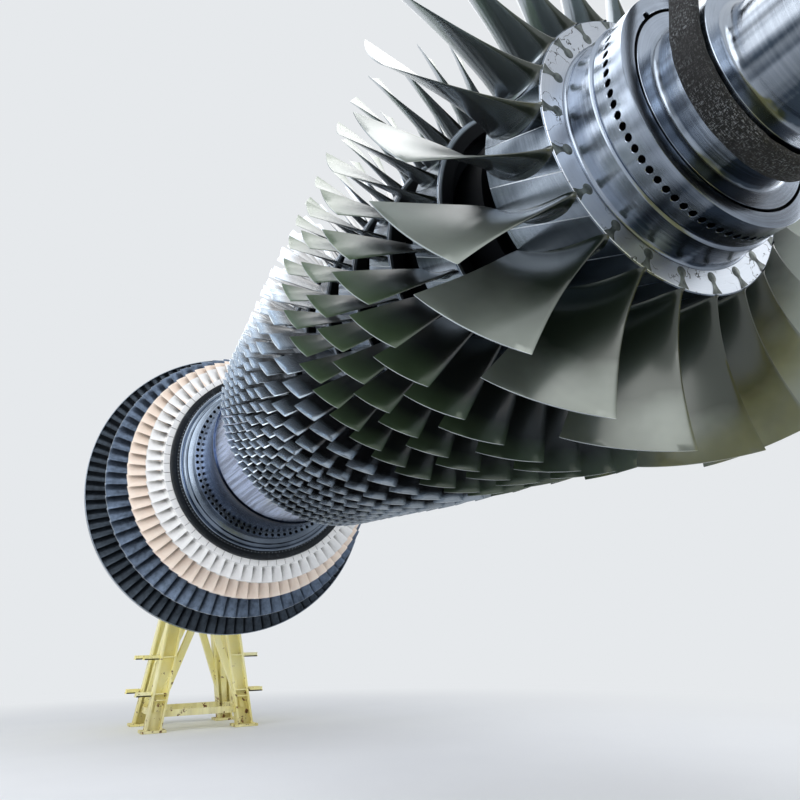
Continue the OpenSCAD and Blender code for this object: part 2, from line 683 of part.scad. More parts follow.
compressor_row_01();
compressor_row_02();
compressor_row_03();
compressor_row_04();
compressor_row_05();
compressor_row_06();
compressor_row_07();
compressor_row_08();
compressor_row_09();
compressor_row_10();
compressor_row_11();
compressor_row_12();
compressor_row_13();
front_hub();
front_journal();
front_shaft();
front_coupling();
middle_shaft_front();
middle_shaft_rear();
turbine_drilled_ring();
turbine_front_cover();
turbine_row_1();
turbine_row_2();
turbine_row_3();
turbine_row_4();
rear_hub();
rear_shaft();
rear_coupling();
front_trestle_legs();
front_trestle_bracing();
front_trestle_head();
front_cradle();
front_bearing_shell();
front_trestle_steps();
rear_trestle_legs();
rear_trestle_bracing();
rear_trestle_head();
rear_cradle();
rear_bearing_shell();
rear_trestle_steps();
lifting_sling();
sling_pin();
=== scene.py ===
"""A gas turbine rotor with its blading, laid on two trestles: how each piece looks, in the order
in which the rotor is put together. Metres, +Z up, X along the rotor towards its inlet."""
import math

import bmesh
import bpy
import numpy as np
from mathutils import Matrix, Vector


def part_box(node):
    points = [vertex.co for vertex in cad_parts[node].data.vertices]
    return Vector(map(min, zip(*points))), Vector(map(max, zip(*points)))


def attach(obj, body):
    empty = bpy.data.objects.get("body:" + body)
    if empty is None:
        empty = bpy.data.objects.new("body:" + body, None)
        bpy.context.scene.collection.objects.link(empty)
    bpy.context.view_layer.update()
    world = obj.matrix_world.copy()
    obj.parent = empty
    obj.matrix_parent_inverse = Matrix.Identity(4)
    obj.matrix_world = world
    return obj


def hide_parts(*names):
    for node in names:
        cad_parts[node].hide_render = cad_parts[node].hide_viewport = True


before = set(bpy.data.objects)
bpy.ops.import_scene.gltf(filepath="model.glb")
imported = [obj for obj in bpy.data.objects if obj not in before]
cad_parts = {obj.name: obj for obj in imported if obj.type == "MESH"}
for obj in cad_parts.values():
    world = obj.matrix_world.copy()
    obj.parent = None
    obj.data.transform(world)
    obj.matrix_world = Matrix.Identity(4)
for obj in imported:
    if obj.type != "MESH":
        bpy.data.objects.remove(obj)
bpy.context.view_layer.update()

# Camera: it stands low beside the inlet end and looks up along the rotor to the turbine,
# leaning over by a degree or two.
eye = Vector((5.015, -1.952, 0.870))
heading, climb, lean = (math.radians(a) for a in (152.56, 19.31, -1.66))
ahead = Vector((math.cos(heading) * math.cos(climb), math.sin(heading) * math.cos(climb), math.sin(climb)))
level = Vector((math.sin(heading), -math.cos(heading), 0))
above = level.cross(ahead)
sideways = level * math.cos(lean) + above * math.sin(lean)
upright = above * math.cos(lean) - level * math.sin(lean)
lens = bpy.data.cameras.new("camera")
lens.lens = 31.4
lens.sensor_width = 36
lens.clip_start, lens.clip_end = 0.05, 200
camera = bpy.data.objects.new("camera", lens)
camera.matrix_world = Matrix.Translation(eye) @ Matrix((sideways, upright, -ahead)).transposed().to_4x4()
bpy.context.scene.collection.objects.link(camera)
bpy.context.scene.camera = camera
bpy.context.scene.view_settings.view_transform = "Standard"

# Trestles: one stands under each end shaft. Four leaning legs of rolled H beam stand on square
# foot plates, with level ties and crossed braces welded between them, all painted pale yellow.
class Link:
    """An output socket of a shader tree. Arithmetic on it adds Math nodes."""

    def __init__(self, socket):
        self.socket = socket

    def node(self, kind, settings=(), values=(), out=0):
        """Adds any other node: its type, its settings, then the values or links of its sockets."""
        made = self.socket.id_data.nodes.new("ShaderNode" + kind)
        for name, value in dict(settings).items():
            setattr(made, name, value)
        for name, value in dict(values).items():
            if isinstance(value, Link):
                self.socket.id_data.links.new(value.socket, made.inputs[name])
            else:
                made.inputs[name].default_value = value
        return Link(made.outputs[out]) if made.outputs else None

    def math(self, operation, *others):
        """This value, and the others if there are any, put through one Math node."""
        return self.node("Math", {"operation": operation}, enumerate((self, *others)))

    def __add__(self, other):
        return self.math("ADD", other)

    def __sub__(self, other):
        return self.math("SUBTRACT", other)

    def __rsub__(self, other):
        return self.node("Math", {"operation": "SUBTRACT"}, {0: other, 1: self})

    def __mul__(self, other):
        return self.math("MULTIPLY", other)

    def __truediv__(self, other):
        return self.math("DIVIDE", other)

    def __pow__(self, other):
        return self.math("POWER", other)

    def __abs__(self):
        return self.math("ABSOLUTE")

    __radd__ = __add__
    __rmul__ = __mul__

    def axis(self, k):
        """How far this place lies along X, Y or Z, for 0, 1 or 2."""
        return self.node("SeparateXYZ", values={0: self}, out=k)

    def combine(self, x, y, z=0):
        """A place to read a pattern at, made of three values or links."""
        return self.node("CombineXYZ", values={0: x, 1: y, 2: z})

    def rise(self, low, high):
        """0 below low, 1 above high, smooth between; the other way round if low is above high."""
        return self.node("MapRange", {"interpolation_type": "SMOOTHSTEP"}, {0: self, 1: low, 2: high})

    def mix(self, off, on):
        """The colour off where this mask is 0 and the colour on where it is 1."""
        return self.node("Mix", {"data_type": "RGBA"}, {0: self, 6: off, 7: on}, out=2)

    def noise(self, scale, detail=3.0, rough=0.55):
        """Cloudy noise at this place, from 0 to 1."""
        values = {"Vector": self, "Scale": scale, "Detail": detail, "Roughness": rough}
        return self.node("TexNoise", values=values)

    def stretch(self, x, y, z):
        """This place with each axis scaled, so that a pattern runs along the smallest one."""
        return self.node("VectorMath", {"operation": "MULTIPLY"}, {0: self, 1: (x, y, z)})

    def bump(self, strength, distance):
        """A normal bumped by this height."""
        return self.node("Bump", values={"Height": self, "Strength": strength, "Distance": distance})


def rgb(code):
    """A colour written as six hexadecimal digits, as it shows on a screen."""
    parts = [int(code[i:i + 2], 16) / 255 for i in (0, 2, 4)]
    return (*[p / 12.92 if p <= 0.04045 else ((p + 0.055) / 1.055) ** 2.4 for p in parts], 1)


def finish(name, surface, **fixed):
    """A material: surface(place) gives what changes over the piece, and fixed what doesn't."""
    material = bpy.data.materials.new(name)
    material.use_nodes = True
    material.node_tree.nodes.clear()
    place = Link(material.node_tree.nodes.new("ShaderNodeTexCoord").outputs["Object"])
    fixed = {key.replace("_", " "): value for key, value in fixed.items()}
    shader = place.node("BsdfPrincipled", values={**fixed, **surface(place)})
    place.node("OutputMaterial", values={"Surface": shader})
    return material


crease = math.radians(32)


def piece(name, points, faces, material, slot, body, node):
    """A mesh piece that rides on a body and stands for a CAD node. Its creases stay sharp."""
    mesh = bpy.data.meshes.new(name)
    mesh.from_pydata([tuple(p) for p in points], [], [tuple(f) for f in faces])
    mesh.shade_smooth()
    mesh.set_sharp_from_angle(angle=crease)
    mesh.materials.append(material)
    made = bpy.data.objects.new(name, mesh)
    bpy.context.scene.collection.objects.link(made)
    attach(made, body)
    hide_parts(node)
    return made


def together(parts):
    """One list of points and one of faces from several (points, faces) pairs."""
    points, faces = [], []
    for some_points, some_faces in parts:
        start = len(points)
        points.extend(some_points)
        faces.extend([[start + i for i in face] for face in some_faces])
    return points, faces


def quads(rings, n, start=0, wrap=False, gap=0):
    """The faces between rings of n points that follow each other. Wrap joins the last ring to
    the first, and gap leaves that many faces out of each ring."""
    return [[start + r * n + i, start + r * n + (i + 1) % n, start + (r + 1) % rings * n + (i + 1) % n,
             start + (r + 1) % rings * n + i] for r in range(rings - (not wrap)) for i in range(n - gap)]


def caps(rings, n, start=0):
    """The two end faces of such a row of rings."""
    end = start + (rings - 1) * n
    return [[*range(start, start + n)][::-1], [*range(end, end + n)]]


def paint_on_steel(place):
    """Old yellow paint: uneven, grimy low down, worn through to rust in small chips."""
    height = place.axis(2)
    cloud = place.noise(2.2, 5)
    streak = place.stretch(9, 9, 1.1).noise(1.6, 4)
    chips = (place.noise(13, 6, 0.62) + 0.09 * (1 - height.rise(0.0, 1.0))).rise(0.665, 0.70)
    grime = (streak * 0.7 + 0.5 * (1 - height.rise(0.05, 0.9))).rise(0.55, 0.95)
    base = cloud.rise(0.3, 0.7).mix(rgb("fff4a2"), rgb("fffac6"))
    dirty = (grime * 0.4).mix(base, rgb("9a8850"))
    rusty = place.noise(40, 4).rise(0.4, 0.65).mix(rgb("5b3a24"), rgb("8a5a33"))
    return {
        "Base Color": chips.mix(dirty, rusty),
        "Roughness": 0.42 + 0.2 * grime + 0.25 * chips,
        "Normal": (place.noise(55, 3) * 0.35 - chips).bump(0.35, 0.0015),
    }


yellow_paint = finish("pale_yellow_paint", paint_on_steel)


def sheared(outline, low, high):
    """A straight bar whose level outline runs from one point up to another."""
    n = len(outline)
    points = [(end[0] + x, end[1] + y, end[2]) for end in (low, high) for x, y in outline]
    return points, caps(2, n) + quads(2, n)


def rectangle(wide, deep, corner):
    """A level outline with small cut corners, counter-clockwise."""
    x, y = wide / 2, deep / 2
    return [(x, -y + corner), (x, y - corner), (x - corner, y), (-x + corner, y),
            (-x, y - corner), (-x, -y + corner), (-x + corner, -y), (x - corner, -y)]


def h_beam(wide, flange, web):
    """The outline of an H beam: its flanges face along Y and its web stands across X."""
    a, b, c = wide / 2, wide / 2 - flange, web / 2
    half = [(a, -a), (a, -b), (c, -b), (c, b), (a, b), (a, a)]
    return half + [(-x, -y) for x, y in half]


def weld(start, stop, size, seed, steps=24, sides=5):
    """A straight weld bead: a five-sided sausage whose thickness ripples along it."""
    start, stop = Vector(start), Vector(stop)
    run = (stop - start).normalized()
    across = run.orthogonal().normalized()
    other = run.cross(across)
    ripple = np.random.default_rng(seed)
    points = []
    for i in range(steps + 1):
        thick = size * (0.8 + 0.35 * ripple.random()) * (0.3 if i in (0, steps) else 1)
        for k in range(sides):
            turn = 2 * math.pi * k / sides
            offset = (across * math.cos(turn) + other * math.sin(turn)) * thick
            points.append(tuple(start.lerp(stop, i / steps) + offset))
    return points, quads(steps + 1, sides) + caps(steps + 1, sides)


def circle(radius, n, lift):
    """n points round Z, lifted above the floor."""
    return [(radius * math.cos(2 * math.pi * k / n), radius * math.sin(2 * math.pi * k / n), lift)
            for k in range(n)]


def bolt(spot, across_flats, high):
    """A hexagon head on a round washer, with its top edge chamfered."""
    sides, corners, seat = 24, 6, high * 0.18
    washer, corner = across_flats * 0.78, across_flats / math.sqrt(3)
    points = circle(washer, sides, 0) + circle(washer, sides, seat)
    for radius, lift in ((corner, seat), (corner, high * 0.9), (corner * 0.88, high)):
        points += circle(radius, corners, lift)
    faces = quads(2, sides) + caps(2, sides)
    faces += quads(3, corners, 2 * sides) + caps(3, corners, 2 * sides)
    return [tuple(Vector(p) + Vector(spot)) for p in points], faces


leg_size, flange, web = 0.18, 0.022, 0.016
plate_size, plate_thick, plate_corner = 0.28, 0.025, 0.012
top_half_y, head_margin = 0.19, 0.04
tie_size, tie_corner, brace_deep, low_tie, high_tie_drop = 0.07, 0.008, 0.091, 0.19, 0.16
brace_share = 0.92
step_heights, step_long, step_wide, step_thick, step_drop = (0.4, 0.8), 0.19, 0.12, 0.014, 0.02
rail_at, rail_wide, rail_high = 0.054, 0.012, 0.05
rib_heights, rib_thick = (0.33, *step_heights, 1.25, 1.7), 0.014
bead = 0.007
stud_inset_x, stud_inset_y, stud_pitch = 0.035, 0.06, 0.1
corners = [(i, j) for i in (-1, 1) for j in (-1, 1)]
for end, clock in (("front", 1), ("rear", 2)):
    low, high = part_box(f"{end}_trestle_legs")
    head_low, head_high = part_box(f"{end}_trestle_head")
    middle = (low + high) / 2
    foot_x = (high.x - low.x - plate_size) / 2
    foot_y = (high.y - low.y - plate_size) / 2
    tilt_x = foot_x - (head_high.x - head_low.x - head_margin - leg_size) / 2
    tilt_y = foot_y - top_half_y
    rise = head_low.z - plate_thick
    high_tie = head_low.z - high_tie_drop

    def leg_at(z, way_x, way_y):
        """The middle of a leg at a height, on one side along the rotor and one across it."""
        share = (z - plate_thick) / rise
        return Vector((middle.x + way_x * (foot_x - tilt_x * share), way_y * (foot_y - tilt_y * share), z))

    def upright_bar(outline, spot, tall):
        """A short bar that stands straight up from a point."""
        return sheared(outline, spot, spot + Vector((0, 0, tall)))

    legs, bracing, steps = [], [], []
    for i, j in corners:
        foot, top = leg_at(plate_thick, i, j), leg_at(head_low.z, i, j)
        legs.append(sheared(h_beam(leg_size, flange, web), foot, top))
        below = Vector((foot.x, foot.y, 0))
        legs.append(sheared(rectangle(plate_size, plate_size, plate_corner), below, foot))
        for z in rib_heights:
            rib = leg_at(z, i, j) + Vector((i * leg_size / 4, 0, 0))
            legs.append(upright_bar(rectangle(leg_size / 2 - 0.012, leg_size - 0.03, 0.004), rib, rib_thick))
        edge = leg_size / 2
        for side in (-edge, edge):
            ends = (foot + Vector((x, side, 0)) for x in (-edge, edge))
            legs.append(weld(*ends, bead, clock * 10 + i + j))
        for z in step_heights:
            spot = leg_at(z, i, j) + Vector((0, j * leg_size / 2, 0))
            outer = spot + Vector((0, j * step_long / 2, -step_drop))
            steps.append(upright_bar(rectangle(step_wide, step_long, 0.012), outer, step_thick))
            for side in (-1, 1):
                rail = outer + Vector((side * rail_at, 0, 0))
                steps.append(upright_bar(rectangle(rail_wide, step_long - 0.02, 0.003), rail, rail_high))
            for side in (-1, 1):
                steps.append(bolt(spot + Vector((side * 0.035, j * 0.05, -0.008)), 0.024, 0.014))
    for z in (low_tie, high_tie):
        for s in (-1, 1):
            p = leg_at(z, s, 1)
            tie = rectangle(tie_size, 2 * p.y - leg_size, tie_corner)
            bracing.append(upright_bar(tie, Vector((p.x, 0, z - tie_size / 2)), tie_size))
            p = leg_at(z, 1, s)
            tie = rectangle(2 * (p.x - middle.x) - web, tie_size, tie_corner)
            bracing.append(upright_bar(tie, Vector((middle.x, p.y, z - tie_size / 2)), tie_size))
    for s, m in corners:
        a, b = leg_at(low_tie, s, -m), leg_at(high_tie, s, m)
        inset = (b - a) * (leg_size / 2 / abs(b.y - a.y)) * brace_share
        bracing.append(sheared(rectangle(tie_size, brace_deep, tie_corner), a + inset, b - inset))
        a, b = leg_at(low_tie, -m, s), leg_at(high_tie, m, s)
        inset = (b - a) * (web / 2 / abs(b.x - a.x))
        bracing.append(sheared(rectangle(brace_deep, tie_size, tie_corner), a + inset, b - inset))
    size = head_high - head_low
    head = sheared(rectangle(size.x, size.y, 0.02), (middle.x, 0, head_low.z), (middle.x, 0, head_high.z))
    studs = [bolt((middle.x + i * (size.x / 2 - stud_inset_x),
                   j * (size.y / 2 - stud_inset_y - stud_pitch * k), head_high.z), 0.036, 0.026)
             for i, j in corners for k in range(3)]
    for part, bars, node in (("legs_painted", legs, "legs"), ("braces_painted", bracing, "bracing"),
                             ("step_irons", steps, "steps"), ("head_plate", [head, *studs], "head")):
        piece(f"{end}_trestle_{part}", *together(bars), yellow_paint, "pale_yellow_paint", "trestles",
              f"{end}_trestle_{node}")

# Cradles: a welded steel block on each head plate, painted like the trestle, with a half round
# seat bored in its top. A bronze half shell lies in the seat and carries the shaft's journal.
def rotor_place(place):
    """The place on the rotor: how far along, the two directions across, and the radius."""
    across, over = place.axis(1), place.axis(2) - axis_height
    return place.axis(0), across, over, (across * across + over * over) ** 0.5


def extruded(outline, start, stop):
    """A solid whose outline across the rotor, points (y, z), runs from one place to another."""
    n = len(outline)
    return [(x, y, z) for x in (start, stop) for y, z in outline], caps(2, n) + quads(2, n)


def arc(radius, angles, lift=0):
    """Points (y, z) on a circle round the rotor's axis, or round a place lifted above it."""
    return [(radius * math.cos(a), axis_height + lift + radius * math.sin(a)) for a in angles]


def rounded(made, width):
    """Rounds the sharp edges of a piece."""
    bevel = made.modifiers.new("rounded", "BEVEL")
    bevel.width, bevel.segments, bevel.limit_method = width, 2, "ANGLE"
    bevel.angle_limit = math.radians(40)
    bevel.harden_normals = True


def worn_bronze(place):
    """Cast bronze, turned and scraped, with darker oil stains."""
    stain = place.noise(7, 5).rise(0.4, 0.7)
    lines = place.stretch(300, 12, 12).noise(1, 2)
    return {
        "Base Color": (stain * 0.6).mix(rgb("c79a5b"), rgb("6f5430")),
        "Roughness": 0.28 + 0.2 * stain + 0.08 * lines,
        "Normal": lines.bump(0.2, 0.0004),
    }


bearing_bronze = finish("bearing_bronze", worn_bronze, Metallic=1)
journal_low, journal_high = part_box("front_journal")
axis_height = (journal_low.z + journal_high.z) / 2
shell_thick = 0.03
rib_wide, rib_deep, rib_tall, rib_inset = 0.02, 0.016, 0.33, 0.1
for end in ("front", "rear"):
    low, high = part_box(f"{end}_cradle")
    seat = axis_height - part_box(f"{end}_bearing_shell")[0].z
    around = [math.pi * (1 + i / 64) for i in range(65)]
    saddle = [(-high.y, low.z), (high.y, low.z), (high.y, high.z)]
    saddle += [*arc(seat, around[::-1]), (-high.y, high.z)]
    ribs = []
    for k in (-1, 1):
        for x in (low.x + rib_inset, (low.x + high.x) / 2, high.x - rib_inset):
            foot = Vector((x, k * (high.y + rib_deep / 2), low.z))
            ribs.append(upright_bar(rectangle(rib_wide, rib_deep, 0.002), foot, rib_tall))
    cradle = together([extruded(saddle, low.x, high.x), *ribs])
    rounded(piece(f"{end}_cradle_painted", *cradle, yellow_paint, "pale_yellow_paint", "trestles",
                  f"{end}_cradle"), 0.004)
    shell = extruded(arc(seat, around) + arc(seat - shell_thick, around[::-1]), low.x, high.x)
    rounded(piece(f"{end}_half_shell", *shell, bearing_bronze, "bearing_bronze", "trestles",
                  f"{end}_bearing_shell"), 0.002)

# Rear shaft: a forged cone behind the last turbine disc, a plain shaft turned to a bearing
# journal, and a coupling flange with sixteen bolt holes at the very end.
middle_station = 3.0
coupling_bolts = 16


def chamfered(profile, size):
    """A closed profile of (station, radius) with each sharp corner cut by a small flat."""
    out, n = [], len(profile)
    for i in range(n):
        here = Vector(profile[i])
        before, after = Vector(profile[i - 1]) - here, Vector(profile[(i + 1) % n]) - here
        cut = min(size, before.length * 0.4, after.length * 0.4)
        if before.angle(after) > math.radians(150):
            out.append(tuple(here))
        else:
            out += [tuple(here + before.normalized() * cut), tuple(here + after.normalized() * cut)]
    return out


def on_axis(run, radius, turn):
    """The point at a station and a radius, turned about the rotor's axis from +Y."""
    return run - middle_station, radius * math.cos(turn), axis_height + radius * math.sin(turn)


def turned(profile, around=256, closed=True):
    """A surface of revolution about the rotor's axis from points (station, radius)."""
    points = [on_axis(*p, 2 * math.pi * k / around) for k in range(around) for p in profile]
    return points, quads(around, len(profile), wrap=True, gap=0 if closed else 1)


def drilled(count, per_side, place_at, half_across, half_up, radius, depth):
    """A band of blind holes side by side: place_at(turn, across, up, out) maps a hole's own
    directions to the rotor. Each hole has a small chamfer and the cone that a drill leaves."""
    edge = [(2 * i / per_side - 1, -1) for i in range(per_side)]
    edge += [(-y, x) for x, y in edge]
    edge += [(-x, -y) for x, y in edge]
    chamfer, tip, cone = 0.0015, radius * 0.02, radius * 0.4
    rings = [(None, 0), (radius * 1.1, 0), (radius, -chamfer), (radius, -depth), (tip, -depth - cone)]
    points, faces, n = [], [], len(edge)
    for k in range(count):
        turn, start = 2 * math.pi * k / count, len(points)
        for size, out in rings:
            for x, y in edge:
                u, v = x * half_across, y * half_up
                if size:
                    length = math.hypot(u, v)
                    u, v = u / length * size, v / length * size
                points.append(place_at(turn, u, v, out))
        faces += quads(len(rings), n, start) + caps(len(rings), n, start)[1:]
    return points, faces


def welded(made):
    """Joins points that coincide and turns all faces outwards."""
    work = bmesh.new()
    work.from_mesh(made.data)
    bmesh.ops.remove_doubles(work, verts=work.verts, dist=0.00002)
    bmesh.ops.recalc_face_normals(work, faces=work.faces)
    work.to_mesh(made.data)
    work.free()
    made.data.set_sharp_from_angle(angle=crease)


def stations(node):
    """The first and last station of a CAD node on the rotor, and its outer radius."""
    low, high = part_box(node)
    return low.x + middle_station, high.x + middle_station, (high.z - low.z) / 2


def turned_steel(tint, rough, lines=1.0, shade="8f98a3", holes=None):
    """Steel from the lathe: fine rings round the axis draw reflections out along it. Painted shade
    darkens it towards the bottom, and painted reflections lie on its walls as broad dark stripes.
    Holes gives how deep a place lies inside a drilled hole, above 0.5, where painted shade makes
    the steel dark."""
    def surface(place):
        run, across, over, radius = rotor_place(place)
        fine = place.combine(run * 900, radius * 900, across).noise(1, 2)
        rings = place.combine(run * 90, radius * 90, across).noise(1, 3)
        faint = place.combine(run * 3, across * 2, over * 2).noise(1.3, 3)
        painted_reflection_bands = place.combine(run * 0.5, across / radius * 3.5, over / radius * 3.5).noise(1, 1)
        wall = abs(place.node("TexCoord", out="Normal").axis(0)).rise(0.9, 0.5)
        # Painted reflections: dark stripes round the axis on the walls. Painted shade: darker towards the
        # bottom.
        painted_shade = 0.6 * wall * painted_reflection_bands.rise(0.40, 0.64) + 0.4 * (over / radius).rise(-0.25, -0.95)
        colour = (0.3 * rings + 0.25 * faint.rise(0.3, 0.7) + painted_shade).mix(rgb(tint), rgb(shade))
        dull = rough + 0.06 * lines * rings + 0.1 * faint.rise(0.45, 0.8)
        if holes:
            # Inside the holes the colour is painted shade, near black.
            inside = holes(run, across, over, radius)
            colour, dull = inside.mix(colour, rgb("1a1c20")), dull + 0.4 * inside
        return {
            "Base Color": colour,
            "Roughness": dull,
            "Normal": (fine * 0.6 + rings * 1.2).bump(min(1, 0.45 * lines), 0.0006),
        }
    return surface


def coupling(end, way):
    """A coupling flange: way is 1 where its face looks towards +X and -1 where it looks back."""
    back, face, radius = stations(f"{end}_coupling")
    if way < 0:
        back, face = face, back
    pitch, half, bolt_radius, centre_bore = 0.325, 0.045, 0.027, 0.06
    dish_low, dish_high, dish_deep, lip = 0.11, 0.205, 0.012, 0.004
    cell = math.pi * pitch / coupling_bolts

    def place_at(turn, across, up, out):
        return on_axis(face + way * out, pitch + up, turn + across / pitch + math.pi / coupling_bolts)

    front = drilled(coupling_bolts, 12, place_at, cell, half, bolt_radius, abs(face - back) * 0.8)
    inner, floor = face - way * lip, face - way * dish_deep
    body = [(face, pitch + half), (face, radius - lip), (inner, radius), (back + way * lip, radius),
            (back, radius - lip), (back, centre_bore), (inner, centre_bore), (face, centre_bore + lip),
            (face, dish_low), (floor, dish_low + 0.005), (floor, dish_high - 0.005), (face, dish_high),
            (face, pitch - half)]
    flange = together([front, turned(body, coupling_bolts * 12, closed=False)])
    welded(piece(f"{end}_coupling_flange", *flange, polished_steel, "polished_steel", "rotor",
                 f"{end}_coupling"))


def journal_step(end):
    """The corners of a bearing journal, turned a little wider than the shaft over its cradle."""
    low, high, _ = stations(f"{end}_cradle")
    middle, half = (low + high) / 2, 0.31
    start, stop = middle - half, middle + half
    return [(start, shaft_radius), (start, journal_radius), (stop, journal_radius), (stop, shaft_radius)]


polished_steel = finish("polished_steel", turned_steel("c3ccd8", 0.10, 1.0, "39434f"), Metallic=1)
dark_steel = finish("dark_steel", turned_steel("7d848d", 0.26, 1.5), Metallic=1)
shaft_radius, cone_radius, cone_bore, shaft_bore = 0.232, 0.292, 0.19, 0.06
back, face, hub_radius = stations("rear_hub")
rear_cone = [(face, cone_bore), (face, hub_radius), (face - 0.06, hub_radius),
             (face - 0.08, hub_radius - 0.06), (face - 0.30, hub_radius - 0.20), (face - 0.62, cone_radius),
             (back, shaft_radius), (back, cone_bore)]
piece("rear_cone", *turned(chamfered(rear_cone, 0.004)), dark_steel, "dark_steel", "rotor", "rear_hub")
low, high, journal_radius = stations("rear_shaft")
rear_shaft = [(low, shaft_bore), (low, shaft_radius), *journal_step("rear"), (high, shaft_radius),
              (high, shaft_bore)]
piece("rear_shaft_turned", *turned(chamfered(rear_shaft, 0.003)), polished_steel, "polished_steel", "rotor",
      "rear_shaft")
coupling("rear", -1)

# Turbine: four discs, each with a ring of cast blades pushed into slots in its rim. The first
# two rows wear a pale heat coating, the last two are bare, and a band ties the last blades' tips.
def aerofoil(chord, camber, thick, steps):
    """Points of one section from the trailing edge over the back, round the nose and home."""
    share = (1 - np.cos(np.linspace(0, np.pi, steps + 1))) / 2
    line = 4 * camber * share * (1 - share)
    half = 5 * thick * (0.2969 * np.sqrt(share) - 0.126 * share - 0.3516 * share**2 + 0.2843 * share**3
                        - 0.1015 * share**4) + 0.003 * share
    back = np.stack([0.5 - share, line + half], 1)
    belly = np.stack([0.5 - share, line - half], 1)
    return chord * np.concatenate([back[::-1], belly[1:]])


def blades(count, first, at, root, tip, sections, levels, steps, fillet=0.012):
    """A ring of like blades. Each section gives its share of the height, then its chord, its
    stagger, its camber and its thickness; the sections between follow a smooth curve."""
    shares = np.array(sections)
    curves = [np.polyfit(shares[:, 0], shares[:, k], len(sections) - 1) for k in range(1, 5)]
    rings = []
    heights = np.concatenate([[0, 0.2, 0.5, 1.0], np.linspace(0, 1, levels)[1:]])
    for k, share in enumerate(heights):
        share = share * fillet / (tip - root) * 1.2 if k < 4 else share
        chord, stagger, camber, thick = (np.polyval(curve, share) for curve in curves)
        swell = fillet * (1 - min(1, share * (tip - root) / fillet)) ** 2
        rings.append((share, chord + swell, stagger, camber, thick + 1.2 * swell / chord))
    rings.append((1, chord * 0.99, stagger, camber, thick * 0.6))
    block = []
    for k, (share, chord, stagger, camber, thick) in enumerate(rings):
        outline = aerofoil(chord, camber, thick, steps)
        c, s = math.cos(math.radians(stagger)), math.sin(math.radians(stagger))
        run = outline[:, 0] * c + outline[:, 1] * s
        across = -outline[:, 0] * s + outline[:, 1] * c
        radius = root + (tip - root) * share - (0.001 if k == len(rings) - 2 else 0)
        block.append(np.stack([at - middle_station + run, across, np.sqrt(radius**2 - across**2)], 1))
    block = np.concatenate(block)
    n = 2 * steps + 1
    points, faces = [], []
    grid = [[a, d, c, b] for a, b, c, d in quads(len(rings), n)]
    top = (len(rings) - 1) * n
    grid += [[top + i, top + i + 1, top + n - 2 - i, top + n - 1 - i] for i in range(steps - 1)]
    grid += [[top + steps - 1, top + steps, top + steps + 1]]
    for b in range(count):
        turn = math.radians(first + 360 * b / count)
        c, s = math.cos(turn), math.sin(turn)
        spun = np.stack([block[:, 0], block[:, 1] * c - block[:, 2] * s,
                         axis_height + block[:, 1] * s + block[:, 2] * c], 1)
        points += spun.tolist()
        faces += [[v + b * len(block) for v in face] for face in grid]
    return points, faces


def platforms(count, first, at, width, rim, deep, lean, gap):
    """The blades' feet side by side round the rim, each a leaning block with a thin gap between."""
    edge = 0.0025
    profile = [(-1, rim - deep), (1, rim - deep), (1, rim - edge), (1 - 2 * edge / width, rim),
               (-1 + 2 * edge / width, rim), (-1, rim - edge)]
    points, faces, n, cuts = [], [], len(profile), 3
    for b in range(count):
        start = len(points)
        for k in range(cuts + 1):
            share = (k / cuts - 0.5) * (1 - gap * count / (2 * math.pi * rim))
            for x, radius in profile:
                twist = x * width / 2 * math.tan(math.radians(lean)) / rim
                turn = math.pi / 2 + math.radians(first) + 2 * math.pi * (b + share) / count + twist
                points.append(on_axis(at + x * width / 2, radius, turn))
        faces += quads(cuts + 1, n, start) + caps(cuts + 1, n, start)
    return points, faces


def cast_blade(tint, shade, rough, tip, root, metal):
    """A cast blade: its coat or bare skin, a little mottled, with painted shade down in the passages."""
    def surface(place):
        run, across, over, radius = rotor_place(place)
        mottle = place.noise(26, 5)
        smear = place.noise(5, 4)
        bare = radius.rise(tip - 0.003, tip - 0.001)
        # Ambient occlusion paints shade into the colour of the creases and passages between blades.
        near = {"samples": 6, "only_local": True}
        open_air = place.node("AmbientOcclusion", near, {"Distance": 0.08}, out=1)
        painted_passage_shade = open_air.rise(0.62, 0.15)
        body = (mottle.rise(0.35, 0.75) * 0.4 + smear.rise(0.4, 0.7) * 0.4).mix(rgb(tint), rgb(shade))
        return {
            "Base Color": (bare * 0.6).mix((painted_passage_shade * 0.95).mix(body, rgb("17181b")), rgb("cfd6dc")),
            "Roughness": rough + 0.15 * mottle,
            "Metallic": metal + (0.8 - metal) * bare,
            "Normal": (mottle * 0.5 + place.noise(160, 2) * 0.4).bump(0.10, 0.0008),
        }
    return surface


def disc_steel(rim, edge="aab2ba"):
    """A disc of dark forged steel whose rim is turned bright."""
    def surface(place):
        run, across, over, radius = rotor_place(place)
        rings = place.combine(run * 260, radius * 260, across * 2).noise(1, 3)
        stain = place.noise(6, 5)
        bright = radius.rise(rim - 0.02, rim - 0.006)
        bare = (0.35 * rings + 0.5 * stain.rise(0.35, 0.75)).mix(rgb(edge), rgb("4d545c"))
        return {
            "Base Color": bright.mix(rgb("16181b"), bare),
            "Roughness": 0.5 - 0.25 * bright + 0.12 * rings,
            "Normal": rings.bump(0.08, 0.0005),
        }
    return surface


def disc_reach(discs, i):
    """Where a disc starts and stops along the rotor: in the middle of the gap to each of its
    neighbours. discs gives each disc's station and width, from the front back."""
    at, width = discs[i]
    front, back = at + width / 2, at - width / 2
    if i > 0:
        front = (front + discs[i - 1][0] - discs[i - 1][1] / 2) / 2
    if i < len(discs) - 1:
        back = (back + discs[i + 1][0] + discs[i + 1][1] / 2) / 2
    return back, front


